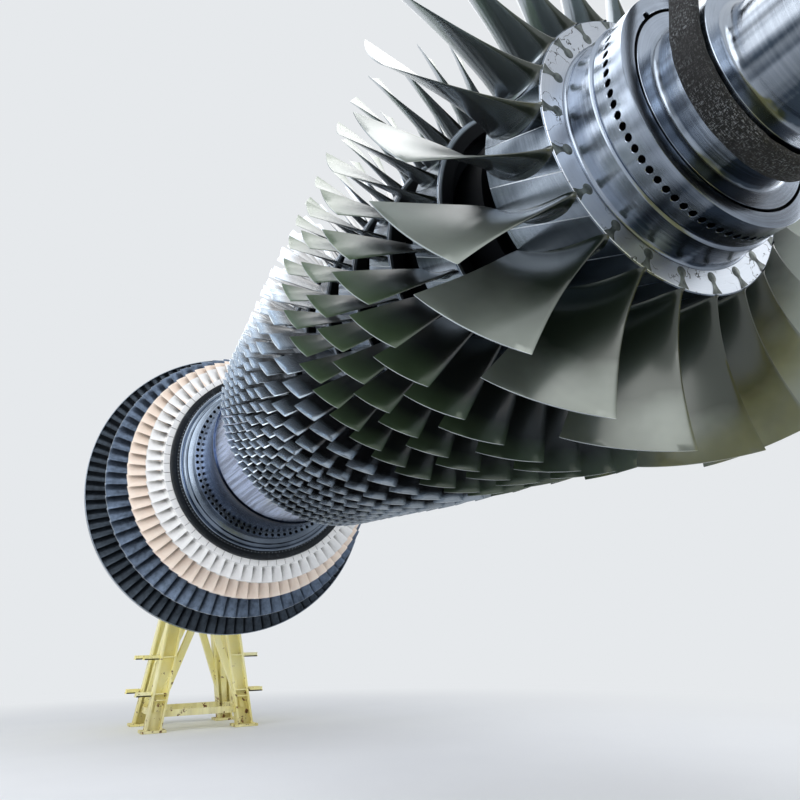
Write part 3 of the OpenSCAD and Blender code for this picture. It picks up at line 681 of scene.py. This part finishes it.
turbine_discs = ((1.190, 0.200), (0.880, 0.215), (0.490, 0.235), (0.010, 0.260))
turbine_rows = (
    (1.148, 1.000, 69, 0.150, 42, 60, "white_coated_blades", "fcfcfb", "efefed", 0.5, 0.0),
    (1.278, 0.985, 70, 0.165, 43, 62, "peach_coated_blades", "fff0e2", "fae4d2", 0.5, 0.0),
    (1.440, 0.955, 70, 0.180, 42, 66, "dark_blades", "66758a", "252e39", 0.32, 0.8),
    (1.600, 0.900, 94, 0.190, 30, 64, "dark_blades", "3b444e", "15191e", 0.30, 0.8),
)
disc_bore, neck, land, undercut, lip_deep, foot_deep = 0.53, 0.67, 0.05, 0.09, 0.056, 0.055
band, band_wide = 0.008, 0.080
for i, row in enumerate(turbine_rows):
    node, (at, width) = f"turbine_row_{i + 1}", turbine_discs[i]
    tip, rim, count, chord, foot_stagger, tip_stagger, coat, tint, shade, rough, metal = row
    middle_stagger = foot_stagger + (tip_stagger - foot_stagger) * 0.6
    last = i == len(turbine_rows) - 1
    if last:
        sections = [(0, chord, foot_stagger, 0.10, 0.12), (0.5, chord * 0.86, middle_stagger, 0.05, 0.065),
                    (1, chord * 0.75, tip_stagger, 0.02, 0.035)]
    else:
        sections = [(0, chord, foot_stagger, 0.06, 0.12), (0.5, chord * 0.98, middle_stagger, 0.035, 0.085),
                    (1, chord * 0.95, tip_stagger, 0.015, 0.05)]
    skin = finish(f"{coat}_{i + 1}", cast_blade(tint, shade, rough, tip, rim, metal))
    feet = platforms(count, 0, at, width, rim, foot_deep, foot_stagger * 0.6, 0.005)
    top = tip - band / 2 if last else tip
    ring = together([blades(count, 0, at, rim, top, sections, 10, 9, 0.014), feet])
    piece(f"{node}_blades", *ring, skin, coat, "rotor", node)
    if last:
        hoop = [(at - band_wide / 2, tip - band), (at + band_wide / 2, tip - band),
                (at + band_wide / 2, tip), (at - band_wide / 2, tip)]
        ring_steel = finish("tip_band_steel", turned_steel("aeb9c6", 0.25, 0.6, "5f6b78"), Metallic=1)
        piece("turbine_tip_band", *turned(chamfered(hoop, 0.001), 376), ring_steel, "dark_blades", "rotor",
              node)
    start, stop = disc_reach(turbine_discs, i)
    front, back, lip, waist = at + width / 2 - 0.002, at - width / 2 + 0.002, rim - lip_deep, rim - undercut
    inner_front, inner_back = at + width / 2 - land, at - width / 2 + land
    profile = [(start, disc_bore), (stop, disc_bore), (stop, neck), (inner_front, neck), (inner_front, waist),
               (front, waist), (front, lip), (back, lip), (back, waist), (inner_back, waist),
               (inner_back, neck), (start, neck)]
    disc = finish(f"turbine_disc_{i + 1}", disc_steel(lip), Metallic=1)
    piece(f"{node}_disc", *turned(chamfered(profile, 0.003)), disc, "dark_steel", "rotor", node)

# Middle shaft and turbine cover: two lengths of thick forged tube butted together, then a ring
# drilled all round for lock screws, and a stepped cover with a black rim before the first blades.
def ground_blue(place):
    """Ground steel with a bluish shine: fine rings from grinding cross fine lengthwise stripes."""
    run, across, over, radius = rotor_place(place)
    turn = over.math("ARCTAN2", across)
    rings = place.combine(run * 40, radius * 3).noise(1, 3)
    stripes = place.combine(run * 0.6, turn * 26).noise(1, 2)
    fine = place.combine(run * 1.5, turn * 140).noise(1, 2)
    lines = (run * 46 * math.pi * 2).math("SINE").rise(0.2, 0.9)
    shade = 0.40 * stripes.rise(0.42, 0.60) + 0.15 * fine + 0.28 * lines
    return {
        "Base Color": shade.mix(rgb("c4d6fb"), rgb("131d31")),
        "Roughness": 0.11 + 0.10 * rings,
        "Normal": (fine * 0.5 + rings).bump(0.06, 0.0005),
    }


def smoked_blue(place):
    """The rear length: steel blued by heat, darker to its ends, with rings of small pin heads, and painted
    shade on its underside.
    """
    run, across, over, radius = rotor_place(place)
    turn = over.math("ARCTAN2", across)
    ends = 1 - run.rise(-1.48, -1.34) * (1 - run.rise(-1.02, -0.94))
    cell = {"Vector": place.combine(run * 24, turn * 36 / math.pi * 2), "Scale": 1, "Randomness": 0.3}
    spot = place.node("TexVoronoi", {"voronoi_dimensions": "2D"}, cell)
    pins = spot.rise(0.14, 0.09) * run.rise(-1.40, -1.38) * (1 - run.rise(-1.12, -1.10))
    combed = place.combine(run * 1.5, turn * 120).noise(1, 2)
    rings = place.combine(run * 60, radius * 3).noise(1, 3)
    # Painted shade: darker towards the bottom.
    painted_shade = 0.4 * (over / radius).rise(-0.2, -0.8)
    body = (0.3 * combed + 0.2 * rings + 0.5 * ends + painted_shade).mix(rgb("8da3cd"), rgb("0b111b"))
    return {
        "Base Color": pins.mix(body, rgb("e8edf2")),
        "Roughness": 0.12 + 0.10 * combed,
        "Normal": (combed * 0.2 + rings * 0.5 + pins).bump(0.08, 0.001),
    }


def black_oxide(place):
    """Blackened steel, a little worn to metal, with fine turned rings and a ring of punched marks."""
    run, across, over, radius = rotor_place(place)
    turn = over.math("ARCTAN2", across)
    rings = place.combine(run * 60, radius * 220).noise(1, 3)
    wear = place.noise(9, 5).rise(0.55, 0.75)
    line = (radius * 90 * math.pi * 2).math("SINE").rise(0.86, 0.99)
    ticks = (turn * 160).math("SINE").rise(0.80, 0.95)
    ticks = ticks * radius.rise(0.870, 0.872) * radius.rise(0.882, 0.880)
    bright = 0.15 * wear + 0.1 * rings + 0.2 * line + 0.7 * ticks
    return {
        "Base Color": bright.mix(rgb("08090a"), rgb("8d959e")),
        "Roughness": 0.34 + 0.2 * rings,
        "Normal": (rings + line * 0.5).bump(0.10, 0.0006),
    }


blue_steel = finish("blue_steel", ground_blue, Metallic=1)
smoked_steel = finish("smoked_steel", smoked_blue, Metallic=1)
black_steel = finish("black_steel", black_oxide, Metallic=0.9)
tube_bore = 0.59
for node, metal in (("middle_shaft_front", blue_steel), ("middle_shaft_rear", smoked_steel)):
    low, high, radius = stations(node)
    tube = [(low, tube_bore), (high, tube_bore), (high, radius), (low, radius)]
    piece(f"{node}_ground", *turned(chamfered(tube, 0.004), 320), metal, "blue_steel", "rotor", node)
ring_holes, screw_radius, screw_deep, half = 77, 0.015, 0.040, 0.019
ring_low, ring_face, ring_radius = stations("turbine_drilled_ring")
pitch = ring_radius - 0.023


def ring_hole(turn, across, up, out):
    """A place on the ring's face, given from the middle of a screw hole."""
    return on_axis(ring_face + out, pitch + up, turn + across / pitch)


def screw_hole_shade(run, across, over, radius):
    """Above 0.5 behind the ring's face, inside the screw holes, where the steel gets painted shade."""
    face = ring_face - middle_station
    return run.rise(face - 0.0025, face - 0.004) * radius.rise(0.752, 0.750)


front = drilled(ring_holes, 6, ring_hole, math.pi * pitch / ring_holes, half, screw_radius, screw_deep)
ring = [(ring_face, pitch + half), (ring_face, ring_radius - 0.002), (ring_face - 0.002, ring_radius),
        (ring_low, ring_radius), (ring_low, tube_bore), (ring_face, tube_bore), (ring_face, pitch - half)]
ring_steel = finish("ring_steel", turned_steel("98a5b6", 0.14, 1.2, "2c3644", screw_hole_shade), Metallic=1)
bored = together([front, turned(ring, ring_holes * 6, False)])
welded(piece("turbine_drilled_ring_bored", *bored, ring_steel, "polished_steel", "rotor",
             "turbine_drilled_ring"))
low, high, radius = stations("turbine_front_cover")
step, rim = low + 0.070, low + 0.040
steps = [(low + 0.03, tube_bore), (high, tube_bore), (high, 0.796), (high - 0.004, 0.80), (step + 0.02, 0.80),
         (step + 0.008, 0.806), (step, 0.82), (step, 0.826), (step - 0.004, 0.828), (step - 0.004, 0.834),
         (step, 0.836), (step, 0.862), (step - 0.006, 0.868), (low + 0.03, 0.868)]
black = [(low, 0.60), (low + 0.03, 0.60), (low + 0.03, 0.866), (rim, 0.869), (rim, 0.880),
         (rim - 0.003, 0.882), (rim - 0.003, 0.886), (rim, 0.888), (rim, radius - 0.001),
         (rim - 0.001, radius), (low, radius)]
step_steel = finish("cover_steel", turned_steel("97a4b4", 0.07, 1.0, "1c242f"), Metallic=1)
piece("turbine_cover_steps", *turned(chamfered(steps, 0.002), 320), step_steel, "polished_steel", "rotor",
      "turbine_front_cover")
piece("turbine_cover_rim", *turned(chamfered(black, 0.001), 320), black_steel, "black_steel", "rotor",
      "turbine_front_cover")

# Compressor: thirteen discs stacked in front of the middle shaft, each with a ring of forged
# blades in slots across its rim. The blades shrink row by row; the front rows wear a coating.
def forged_blade(tint, shade, rough, metal, back, smooth, bare_metal, tip, foot, dark_from, dark_to):
    """A forged blade with a satin coat. The side that looks forward shows the coat and the other side
    smooth steel: this split is painted light, standing in for how light falls on the two sides. The
    edge of the tip is left bare. Painted shade darkens the forward side up to the share dark_from of
    its height, clear from dark_to on, and low on the rotor."""
    def surface(place):
        run, across, over, radius = rotor_place(place)
        cloud = place.noise(4, 3)
        # coated is 1 on the side that looks forward: splitting coat from steel by facing is painted light.
        coated = place.node("TexCoord", out="Normal").axis(0).rise(-0.05, 0.12)
        bare = radius.rise(tip - 0.0022, tip - 0.0008)
        stain = (cloud + 0.4 * radius.rise(foot + 0.10, foot)).rise(0.72, 1.0)
        # Painted shade: dark towards the root, where neighbouring blades shade it, and dark low on the rotor.
        painted_root_shade = 1 - radius.rise(foot + dark_from * (tip - foot), foot + dark_to * (tip - foot))
        painted_shade = (over / radius).rise(-0.45, -1.0)
        skin = (0.15 * cloud.rise(0.3, 0.7) + 0.9 * painted_root_shade + 0.65 * painted_shade).mix(rgb(tint), rgb(shade))
        skin = (0.5 * stain).mix(skin, rgb(shade))
        # The back side's smooth steel look, the other half of that painted split.
        steel = (0.4 * cloud).mix(rgb(back), rgb("6f7b86"))
        return {
            "Base Color": (0.2 * bare).mix(coated.mix(steel, skin), rgb("e2e8ea")),
            "Roughness": smooth + (rough - smooth) * coated,
            "Metallic": bare_metal + (metal - bare_metal) * coated,
            "Coat Weight": coated,
            "Normal": cloud.bump(0.04, 0.0008),
        }
    return surface


def root_slots(count, clock, face, rim):
    """The ends of the blades' bulbous roots, side by side in the front face of a disc."""
    waist = [(0.0095, 0.026), (0.0105, 0.036), (0.0150, 0.050), (0.0215, 0.062), (0.0230, 0.0665)]
    bulb = [(0.0215 * math.sin(t), -0.0215 * math.cos(t)) for t in np.linspace(0.05, 2.6, 14)]
    half = bulb + waist
    bulb_at = rim - 0.068
    outline = half + [(-x, y) for x, y in half[::-1]]
    points, faces, n = [], [], len(outline)
    for b in range(count):
        turn, start = math.pi / 2 + math.radians(clock) + 2 * math.pi * b / count, len(points)
        for grow, lift in ((1.0, -0.0015), (1.0, -0.0004), (0.96, 0.0)):
            points += [on_axis(face + lift, bulb_at + y * grow, turn + x * grow / bulb_at)
                       for x, y in outline]
        faces += quads(3, n, start) + caps(3, n, start)[1:]
    return points, faces


def stained_face(place):
    """The first disc's flat front: bright turned steel with thin dark runs of old oil on it."""
    run, across, over, radius = rotor_place(place)
    rings = place.combine(run * 60, radius * 300, across * 2).noise(1, 3)
    thread = abs(place.noise(11, 4) * 2 - 1).rise(0.022, 0.006)
    patch = place.noise(6, 2).rise(0.46, 0.56)
    flat = run.rise(3.524, 3.527)
    dirt = thread * patch * flat
    web = radius.rise(0.57, 0.56) * (1 - flat)
    side = (0.25 * rings + 0.15 * place.noise(14, 4)).mix(rgb("e3e9f2"), rgb("8d97a5"))
    return {
        "Base Color": (dirt + web).mix(side, rgb("17191c")),
        "Roughness": 0.34 + 0.1 * rings + 0.2 * dirt,
        "Normal": (rings * 0.6 - dirt).bump(0.08, 0.0006),
    }


def root_metal(place):
    """The cut end of a blade's root: dull grey steel, darker in blotches."""
    cloud = place.noise(30, 4)
    return {
        "Base Color": cloud.rise(0.3, 0.7).mix(rgb("7b8381"), rgb("3d4342")),
        "Roughness": 0.42 + 0.15 * cloud,
        "Normal": cloud.bump(0.1, 0.0006),
    }


compressor_discs = (
    (6.355, 0.350), (5.790, 0.240), (5.405, 0.205), (5.055, 0.185), (4.745, 0.170), (4.450, 0.150),
    (4.220, 0.122), (4.040, 0.112), (3.835, 0.104), (3.675, 0.098), (3.505, 0.094), (3.325, 0.090),
    (3.170, 0.088),
)
tips = (1.175, 1.100, 1.058, 1.036, 1.018, 1.001, 0.983, 0.968, 0.952, 0.939, 0.927, 0.914, 0.903)
rims = (0.600, 0.655, 0.692, 0.715, 0.732, 0.743, 0.750, 0.755, 0.759, 0.762, 0.765, 0.768, 0.770)
counts = (21, 36, 40, 45, 46, 50, 64, 68, 72, 90, 90, 90, 94)
chords = (0.450, 0.275, 0.205, 0.185, 0.165, 0.138, 0.114, 0.104, 0.096, 0.088, 0.084, 0.080, 0.078)
clocks = (14, 3.6, 0.6, 7.7, 1.5, 5.1, 3.2, 0.9, 4.1, 2.2, 3.5, 1.1, 2.7)
# Each coat: its name, the forward side's tint, the dark colour of its stains and painted shade, its roughness
# and metal; then the back side's steel look (colour, roughness, metal), the other half of the painted split
# between the sides; then the shares of the height between which the painted shade at the root fades.
coats = [("grey_green_blades", "a0a9a1", "1b261a", 0.34, 0.65, ("b4bec7", 0.17, 0.88), (0.05, 0.95))]
coats += [("green_coated_blades", "566e4b", "080d06", 0.32, 0.55, ("c2ccd5", 0.17, 0.8), (0.35, 1.0))] * 3
coats += [("bright_blades", "dcecfc", "05080c", 0.15, 0.85, ("e8eff6", 0.14, 0.8), (0.60, 0.96))] * 2
coats += [("bright_blades", "e4f1ff", "05080d", 0.13, 0.85, ("ecf3fa", 0.14, 0.8), (0.58, 0.95))] * 7
neck_deep, wall, rim_land, half_web, tail = 0.13, 0.12, 0.07, 0.03, 0.04
platform_steel = finish("platform_steel", turned_steel("a9b4c2", 0.15, 0.8, "3c4651"), Metallic=1)
for i in range(len(compressor_discs)):
    node = f"compressor_row_{i + 1:02d}"
    (at, width), tip, rim, chord = compressor_discs[i], tips[i], rims[i], chords[i]
    slot, tint, shade, rough, metal, bright, root_shade_span = coats[i]
    if i == 0:
        sections = [(0, chord * 0.84, 24, -0.12, 0.12), (0.3, chord * 0.73, 37.4, -0.10, 0.075),
                    (0.65, chord * 0.80, 49, -0.06, 0.042), (1, chord, 56, -0.03, 0.014)]
        levels, steps, fillet = 22, 16, 0.016
    elif i < 4:
        sections = [(0, chord * 0.82, 29, -0.11, 0.10), (0.5, chord * 0.89, 43.8, -0.07, 0.055),
                    (1, chord, 54, -0.04, 0.018)]
        levels, steps, fillet = 12, 10, 0.008
    else:
        sections = [(0, chord, 44, -0.08, 0.07), (0.5, chord, 50, -0.05, 0.04), (1, chord, 53, -0.03, 0.02)]
        levels, steps, fillet = 7 if i < 7 else 5, 8 if i < 7 else 6, 0.004
    forged = forged_blade(tint, shade, rough, metal, *bright, tip, rim, *root_shade_span)
    skin = finish(f"{slot}_{i + 1:02d}", forged, Coat_Roughness=0.2, Coat_IOR=1.6)
    ring = blades(counts[i], clocks[i], at, rim - 0.002, tip, sections, levels, steps, fillet)
    piece(f"{node}_blades", *ring, skin, slot, "rotor", node)
    front, back = at + width / 2, at - width / 2
    if i < 7:
        feet = platforms(counts[i], clocks[i], at, width - 0.006, rim, 0.010, sections[0][2], 0.004)
        piece(f"{node}_platforms", *feet, platform_steel, "polished_steel", "rotor", node)
        rim -= 0.005
    start, stop = disc_reach(compressor_discs, i)
    neck, waist, inner_back = rims[i] - neck_deep, rim - rim_land, at - half_web
    if i == 0:
        face = front - 0.001
        profile = [(start, neck - wall), (face, neck - wall), (face, rim), (back, rim), (back, waist),
                   (inner_back, waist), (inner_back, neck), (start, neck)]
        disc = finish("compressor_disc_01", stained_face, Metallic=1)
        ends = finish("blade_root_ends", root_metal, Metallic=0.8)
        slots = root_slots(counts[0], clocks[0] + 7.7, front, rim)
        piece("compressor_root_ends", *slots, ends, slot, "rotor", node)
    else:
        if i == len(compressor_discs) - 1:
            start = back - tail
        profile = [(start, neck - wall), (stop, neck - wall), (stop, neck), (at + half_web, neck),
                   (at + half_web, waist), (front, waist), (front, rim), (back, rim), (back, waist),
                   (inner_back, waist), (inner_back, neck), (start, neck)]
        disc = finish(f"compressor_disc_{i + 1:02d}", disc_steel(rim, "c3cad1"), Metallic=1)
    piece(f"{node}_disc", *turned(chamfered(profile, 0.002), 224), disc, "dark_steel", "rotor", node)

# Front hub: a forged collar that grows out of the first disc, with a turned line, a ring of 71
# radial balance holes, and a narrow slot for balance weights in its face. The wide journal and
# the front shaft are turned in steps in front of it.
hub_holes = 71
low, high, _ = stations("front_hub")
hub_face = high
hub_radius, hub_foot, foot_round = 0.474, 0.485, 0.015
hole_at = 6.717
half = 0.022
line = 6.660
slot_low, slot_high, slot_deep = 0.402, 0.414, 0.040
cell = math.pi * hub_radius / hub_holes


def hub_hole(turn, across, up, out):
    """A place on the hub's rim, given from the middle of a balance hole."""
    return on_axis(hole_at - up, hub_radius + out, turn + across / hub_radius)


def hub_hole_shade(run, across, over, radius):
    """Above 0.5 inside the radial holes and inside the slot in the face, where the steel gets painted shade.
    """
    front, back = hole_at + 0.023 - middle_station, hole_at - 0.023 - middle_station
    face = hub_face - middle_station
    holes = radius.rise(0.4715, 0.469) * run.rise(back, back + 0.002) * run.rise(front, front - 0.002)
    slot = radius.rise(0.4015, 0.4025) * radius.rise(0.434, 0.432) * run.rise(face - 0.002, face - 0.005)
    return holes + slot * run.rise(front, front + 0.004)


def quarter(run, radius, size, steps=6):
    """A rounded foot: points from the face out at radius + size to the wall at run + size."""
    return [(run + size * (1 - math.cos(t)), radius + size * (1 - math.sin(t)))
            for t in np.linspace(0, math.pi / 2, steps + 1)]


band = drilled(hub_holes, 6, hub_hole, cell, half, 0.0135, 0.045)
rim_edge = [(high, slot_high + 0.001), (high, hub_radius - 0.003), (high - 0.001, hub_radius - 0.0008),
            (high - 0.004, hub_radius)]
hub = [(hole_at - half, hub_radius), (line + 0.001, hub_radius), (line, hub_radius - 0.001),
       (line, hub_radius - 0.004), (line - 0.006, hub_radius - 0.004), (line - 0.012, hub_foot - 0.001),
       (line - 0.013, hub_foot), *quarter(low, hub_foot, foot_round)[::-1], (low, 0.36), (low + 0.04, 0.35),
       (low + 0.04, 0.30), (high, 0.30), (high, slot_low - 0.001),
       (high - 0.001, slot_low), (high - slot_deep, slot_low),
       (high - slot_deep, slot_high), (high - 0.001, slot_high), *rim_edge, (hole_at + half, hub_radius)]
around = hub_holes * 6
points, faces = turned(hub, around, False)
n = len(hub)
entry_at, entry_half, entry_deep = 139.2, 2.6, 0.015
entry = [k for k in range(around) if abs(360 * k / around - entry_at) < entry_half]
for k in entry:
    for i in range(hub.index((high - slot_deep, slot_high)), hub.index((high, slot_high + 0.001)) + 1):
        points[k * n + i] = on_axis(hub[i][0], hub[i][1] + entry_deep, 2 * math.pi * k / around)
hub_steel = finish("hub_steel", turned_steel("c2cedf", 0.12, 1.2, "29323e", hub_hole_shade), Metallic=1)
welded(piece("front_hub_drilled", *together([band, (points, faces)]), hub_steel, "polished_steel", "rotor",
             "front_hub"))
low, high, _ = stations("front_journal")
wide = 0.323
journal = [(low, shaft_bore), (high, shaft_bore), (high, wide - 0.002), (high - 0.002, wide),
           *quarter(low, wide, 0.022, 8)[::-1]]
fine_steel = finish("fine_turned_steel", turned_steel("bac6d6", 0.12, 2.0, "27303b"), Metallic=1)
piece("front_journal_turned", *turned(journal, 320), fine_steel, "polished_steel", "rotor", "front_journal")
low, high, _ = stations("front_shaft")
seat = [*journal_step("front"), (high, shaft_radius), (high, shaft_bore), (low, shaft_bore)]
foot = quarter(low, shaft_radius, 0.030, 8)
front_shaft = turned(foot + chamfered(seat, 0.003), 320)
piece("front_shaft_turned", *front_shaft, polished_steel, "polished_steel", "rotor", "front_shaft")
coupling("front", 1)

# Sling: an endless woven sleeve filled with yarn, marled black and grey, that runs under the
# front journal and up over a steel pin with two end plates.
def marled_weave(place):
    """Coarse woven sleeve: black and grey yarns crossing, scuffed and dusty in patches."""
    warp = place.stretch(380, 80, 80).noise(1, 2)
    weft = place.stretch(80, 330, 330).noise(1, 3)
    speck = (warp * 0.55 + weft * 0.55).rise(0.55, 0.70)
    dust = place.noise(7, 4).rise(0.35, 0.65)
    return {
        "Base Color": (speck * (0.25 + 0.65 * dust)).mix(rgb("0b0c0e"), rgb("7d8186")),
        "Roughness": 0.8 + 0.1 * dust,
        "Normal": (warp + weft).bump(0.6, 0.003),
    }


sling_fabric = finish("sling_fabric", marled_weave)
low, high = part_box("lifting_sling")
pin_low, pin_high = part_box("sling_pin")
sling_at = (low.x + high.x) / 2
width, thick = high.x - low.x, 0.046
gap = 0.0005
big = wide + gap + thick / 2
small = 0.060 + thick / 2
reach = (pin_low.z + pin_high.z) / 2 - axis_height
lean_in = math.asin((big - small) / reach)
route = arc(big, np.linspace(math.pi - lean_in, 2 * math.pi + lean_in, 97))
over_pin = arc(small, np.linspace(lean_in, math.pi - lean_in, 33), reach)
right_leg = [tuple(Vector(route[-1]).lerp(Vector(over_pin[0]), k / 40)) for k in range(1, 40)]
left_leg = [tuple(Vector(over_pin[-1]).lerp(Vector(route[0]), k / 40)) for k in range(1, 40)]
loop = route + right_leg + over_pin + left_leg
sides, square = 20, 0.55
points = []
ripple = np.random.default_rng(5)
waves = [(ripple.uniform(0, 6.28), ripple.uniform(7, 31), ripple.uniform(0, 6.28)) for _ in range(9)]
for i, (y, z) in enumerate(loop):
    after, before = Vector(loop[(i + 1) % len(loop)]), Vector(loop[i - 1])
    run = (after - before).normalized()
    out = Vector((run.y, -run.x))
    share = 2 * math.pi * i / len(loop)
    for k in range(sides):
        turn = 2 * math.pi * k / sides
        u = math.copysign(abs(math.cos(turn)) ** square, math.cos(turn))
        v = math.copysign(abs(math.sin(turn)) ** square, math.sin(turn))
        fold = sum(math.sin(round(f) * share + p + q * turn / 3) for p, f, q in waves) / 9
        side = width / 2 * (0.95 + 0.05 * fold) * u
        deep = (thick / 2 * (0.90 + 0.08 * fold)) * v
        points.append((sling_at + side, y + out.x * deep, z + out.y * deep))
welded(piece("lifting_sling_woven", points, quads(len(loop), sides, wrap=True), sling_fabric, "sling_fabric",
             "trestles", "lifting_sling"))
pin_x = (pin_low.x + pin_high.x) / 2
half = (pin_high.x - pin_low.x) / 2
plate, plate_inner, pin_radius, spins = 0.106, half - 0.03, 0.0595, 96
profile = [(-half, 0), (-half, plate), (-plate_inner, plate), (-plate_inner, pin_radius),
           (plate_inner, pin_radius), (plate_inner, plate), (half, plate), (half, 0)]
profile = chamfered(profile, 0.004)
turns = [2 * math.pi * k / spins for k in range(spins)]
points = [(pin_x + x, *arc(r, [a], reach)[0]) for a in turns for x, r in profile]
faces = quads(spins, len(profile), wrap=True, gap=1)
welded(piece("sling_pin_turned", points, faces, dark_steel, "dark_steel", "trestles", "sling_pin"))

# Studio: a plain pale floor in a pale room, lit by long soft lamps above and beside the rotor.
# Dark stripes high on one side of the room give the polished steel something to reflect.
scene = bpy.context.scene
floor = bpy.data.meshes.new("floor")
far = 60
floor.from_pydata([(-far, -far, 0), (far, -far, 0), (far, far, 0), (-far, far, 0)], [], [(0, 1, 2, 3)])


def pale_floor(place):
    """Pale concrete that melts into the pale room far away from the rotor."""
    aside = place.axis(1)
    beyond = (abs(place.axis(0)) - 4).math("MAXIMUM", 0)
    away = ((beyond * beyond + aside * aside) ** 0.5).rise(1.8, 8)
    concrete = place.noise(0.8, 3).mix(rgb("e8eaed"), rgb("eff1f3"))
    return {
        "Base Color": away.mix(concrete, rgb("000000")),
        "Emission Color": away.mix(rgb("000000"), rgb("e6e9ec")),
    }


matt = {"Roughness": 0.6, "Specular_IOR_Level": 0, "Emission_Strength": 1}
floor.materials.append(finish("pale_floor", pale_floor, **matt))
ground = bpy.data.objects.new("floor", floor)
ground.location.z = -0.002
scene.collection.objects.link(ground)
world = bpy.data.worlds.new("studio")
scene.world = world
world.use_nodes = True
world.node_tree.nodes.clear()
sky = Link(world.node_tree.nodes.new("ShaderNodeTexCoord").outputs["Generated"])
aside, height = sky.axis(1), sky.axis(2)
bars = (height.math("ARCTAN2", aside) * 13).math("SINE").rise(-0.15, 0.35) * aside.rise(-0.14, -0.24)
stripes = bars * height.rise(0.50, 0.54) * height.rise(0.88, 0.84)
room = stripes.mix(rgb("e6e9ec"), rgb("30363e"))
path = world.node_tree.nodes.new("ShaderNodeLightPath").outputs
shown = Link(path["Is Camera Ray"]) + Link(path["Is Glossy Ray"]) + Link(path["Is Transmission Ray"])
plain = rgb("bcbfc4")
light = sky.node("Background", values={"Color": shown.mix(plain, room), "Strength": 1})
sky.node("OutputWorld", values={"Surface": light})


def lamp(name, spot, aim, size, power):
    """A long soft lamp that points from one place at another."""
    made = bpy.data.lights.new(name, "AREA")
    made.shape, made.size, made.size_y, made.energy = "RECTANGLE", size[0], size[1], power
    holder = bpy.data.objects.new(name, made)
    holder.location = spot
    holder.visible_camera = False
    holder.rotation_mode = "QUATERNION"
    holder.rotation_quaternion = (Vector(aim) - Vector(spot)).to_track_quat("-Z", "X")
    scene.collection.objects.link(holder)


lamp("lamp_side", (-0.5, -7, 8), (-0.5, 0, 2.6), (16, 6), 310)
lamp("lamp_top", (-0.5, 1, 10), (-0.5, 0, 2.6), (18, 5.5), 300)
lamp("lamp_window", (5, 8, 6), (3, 0, 2.6), (6, 3), 170)
lamp("lamp_front", (9, -5, 7), (-2, 0, 2.6), (8, 6), 330)
lamp("lamp_low", (-1, -9, 3.2), (-3, 0, 1.4), (14, 4), 100)
lamp("lamp_strip_left", (0, -3.5, 9.5), (0, 0, 2.6), (16, 0.3), 30)
lamp("lamp_strip_right", (0, 4.5, 9), (0, 0, 2.6), (16, 0.3), 30)
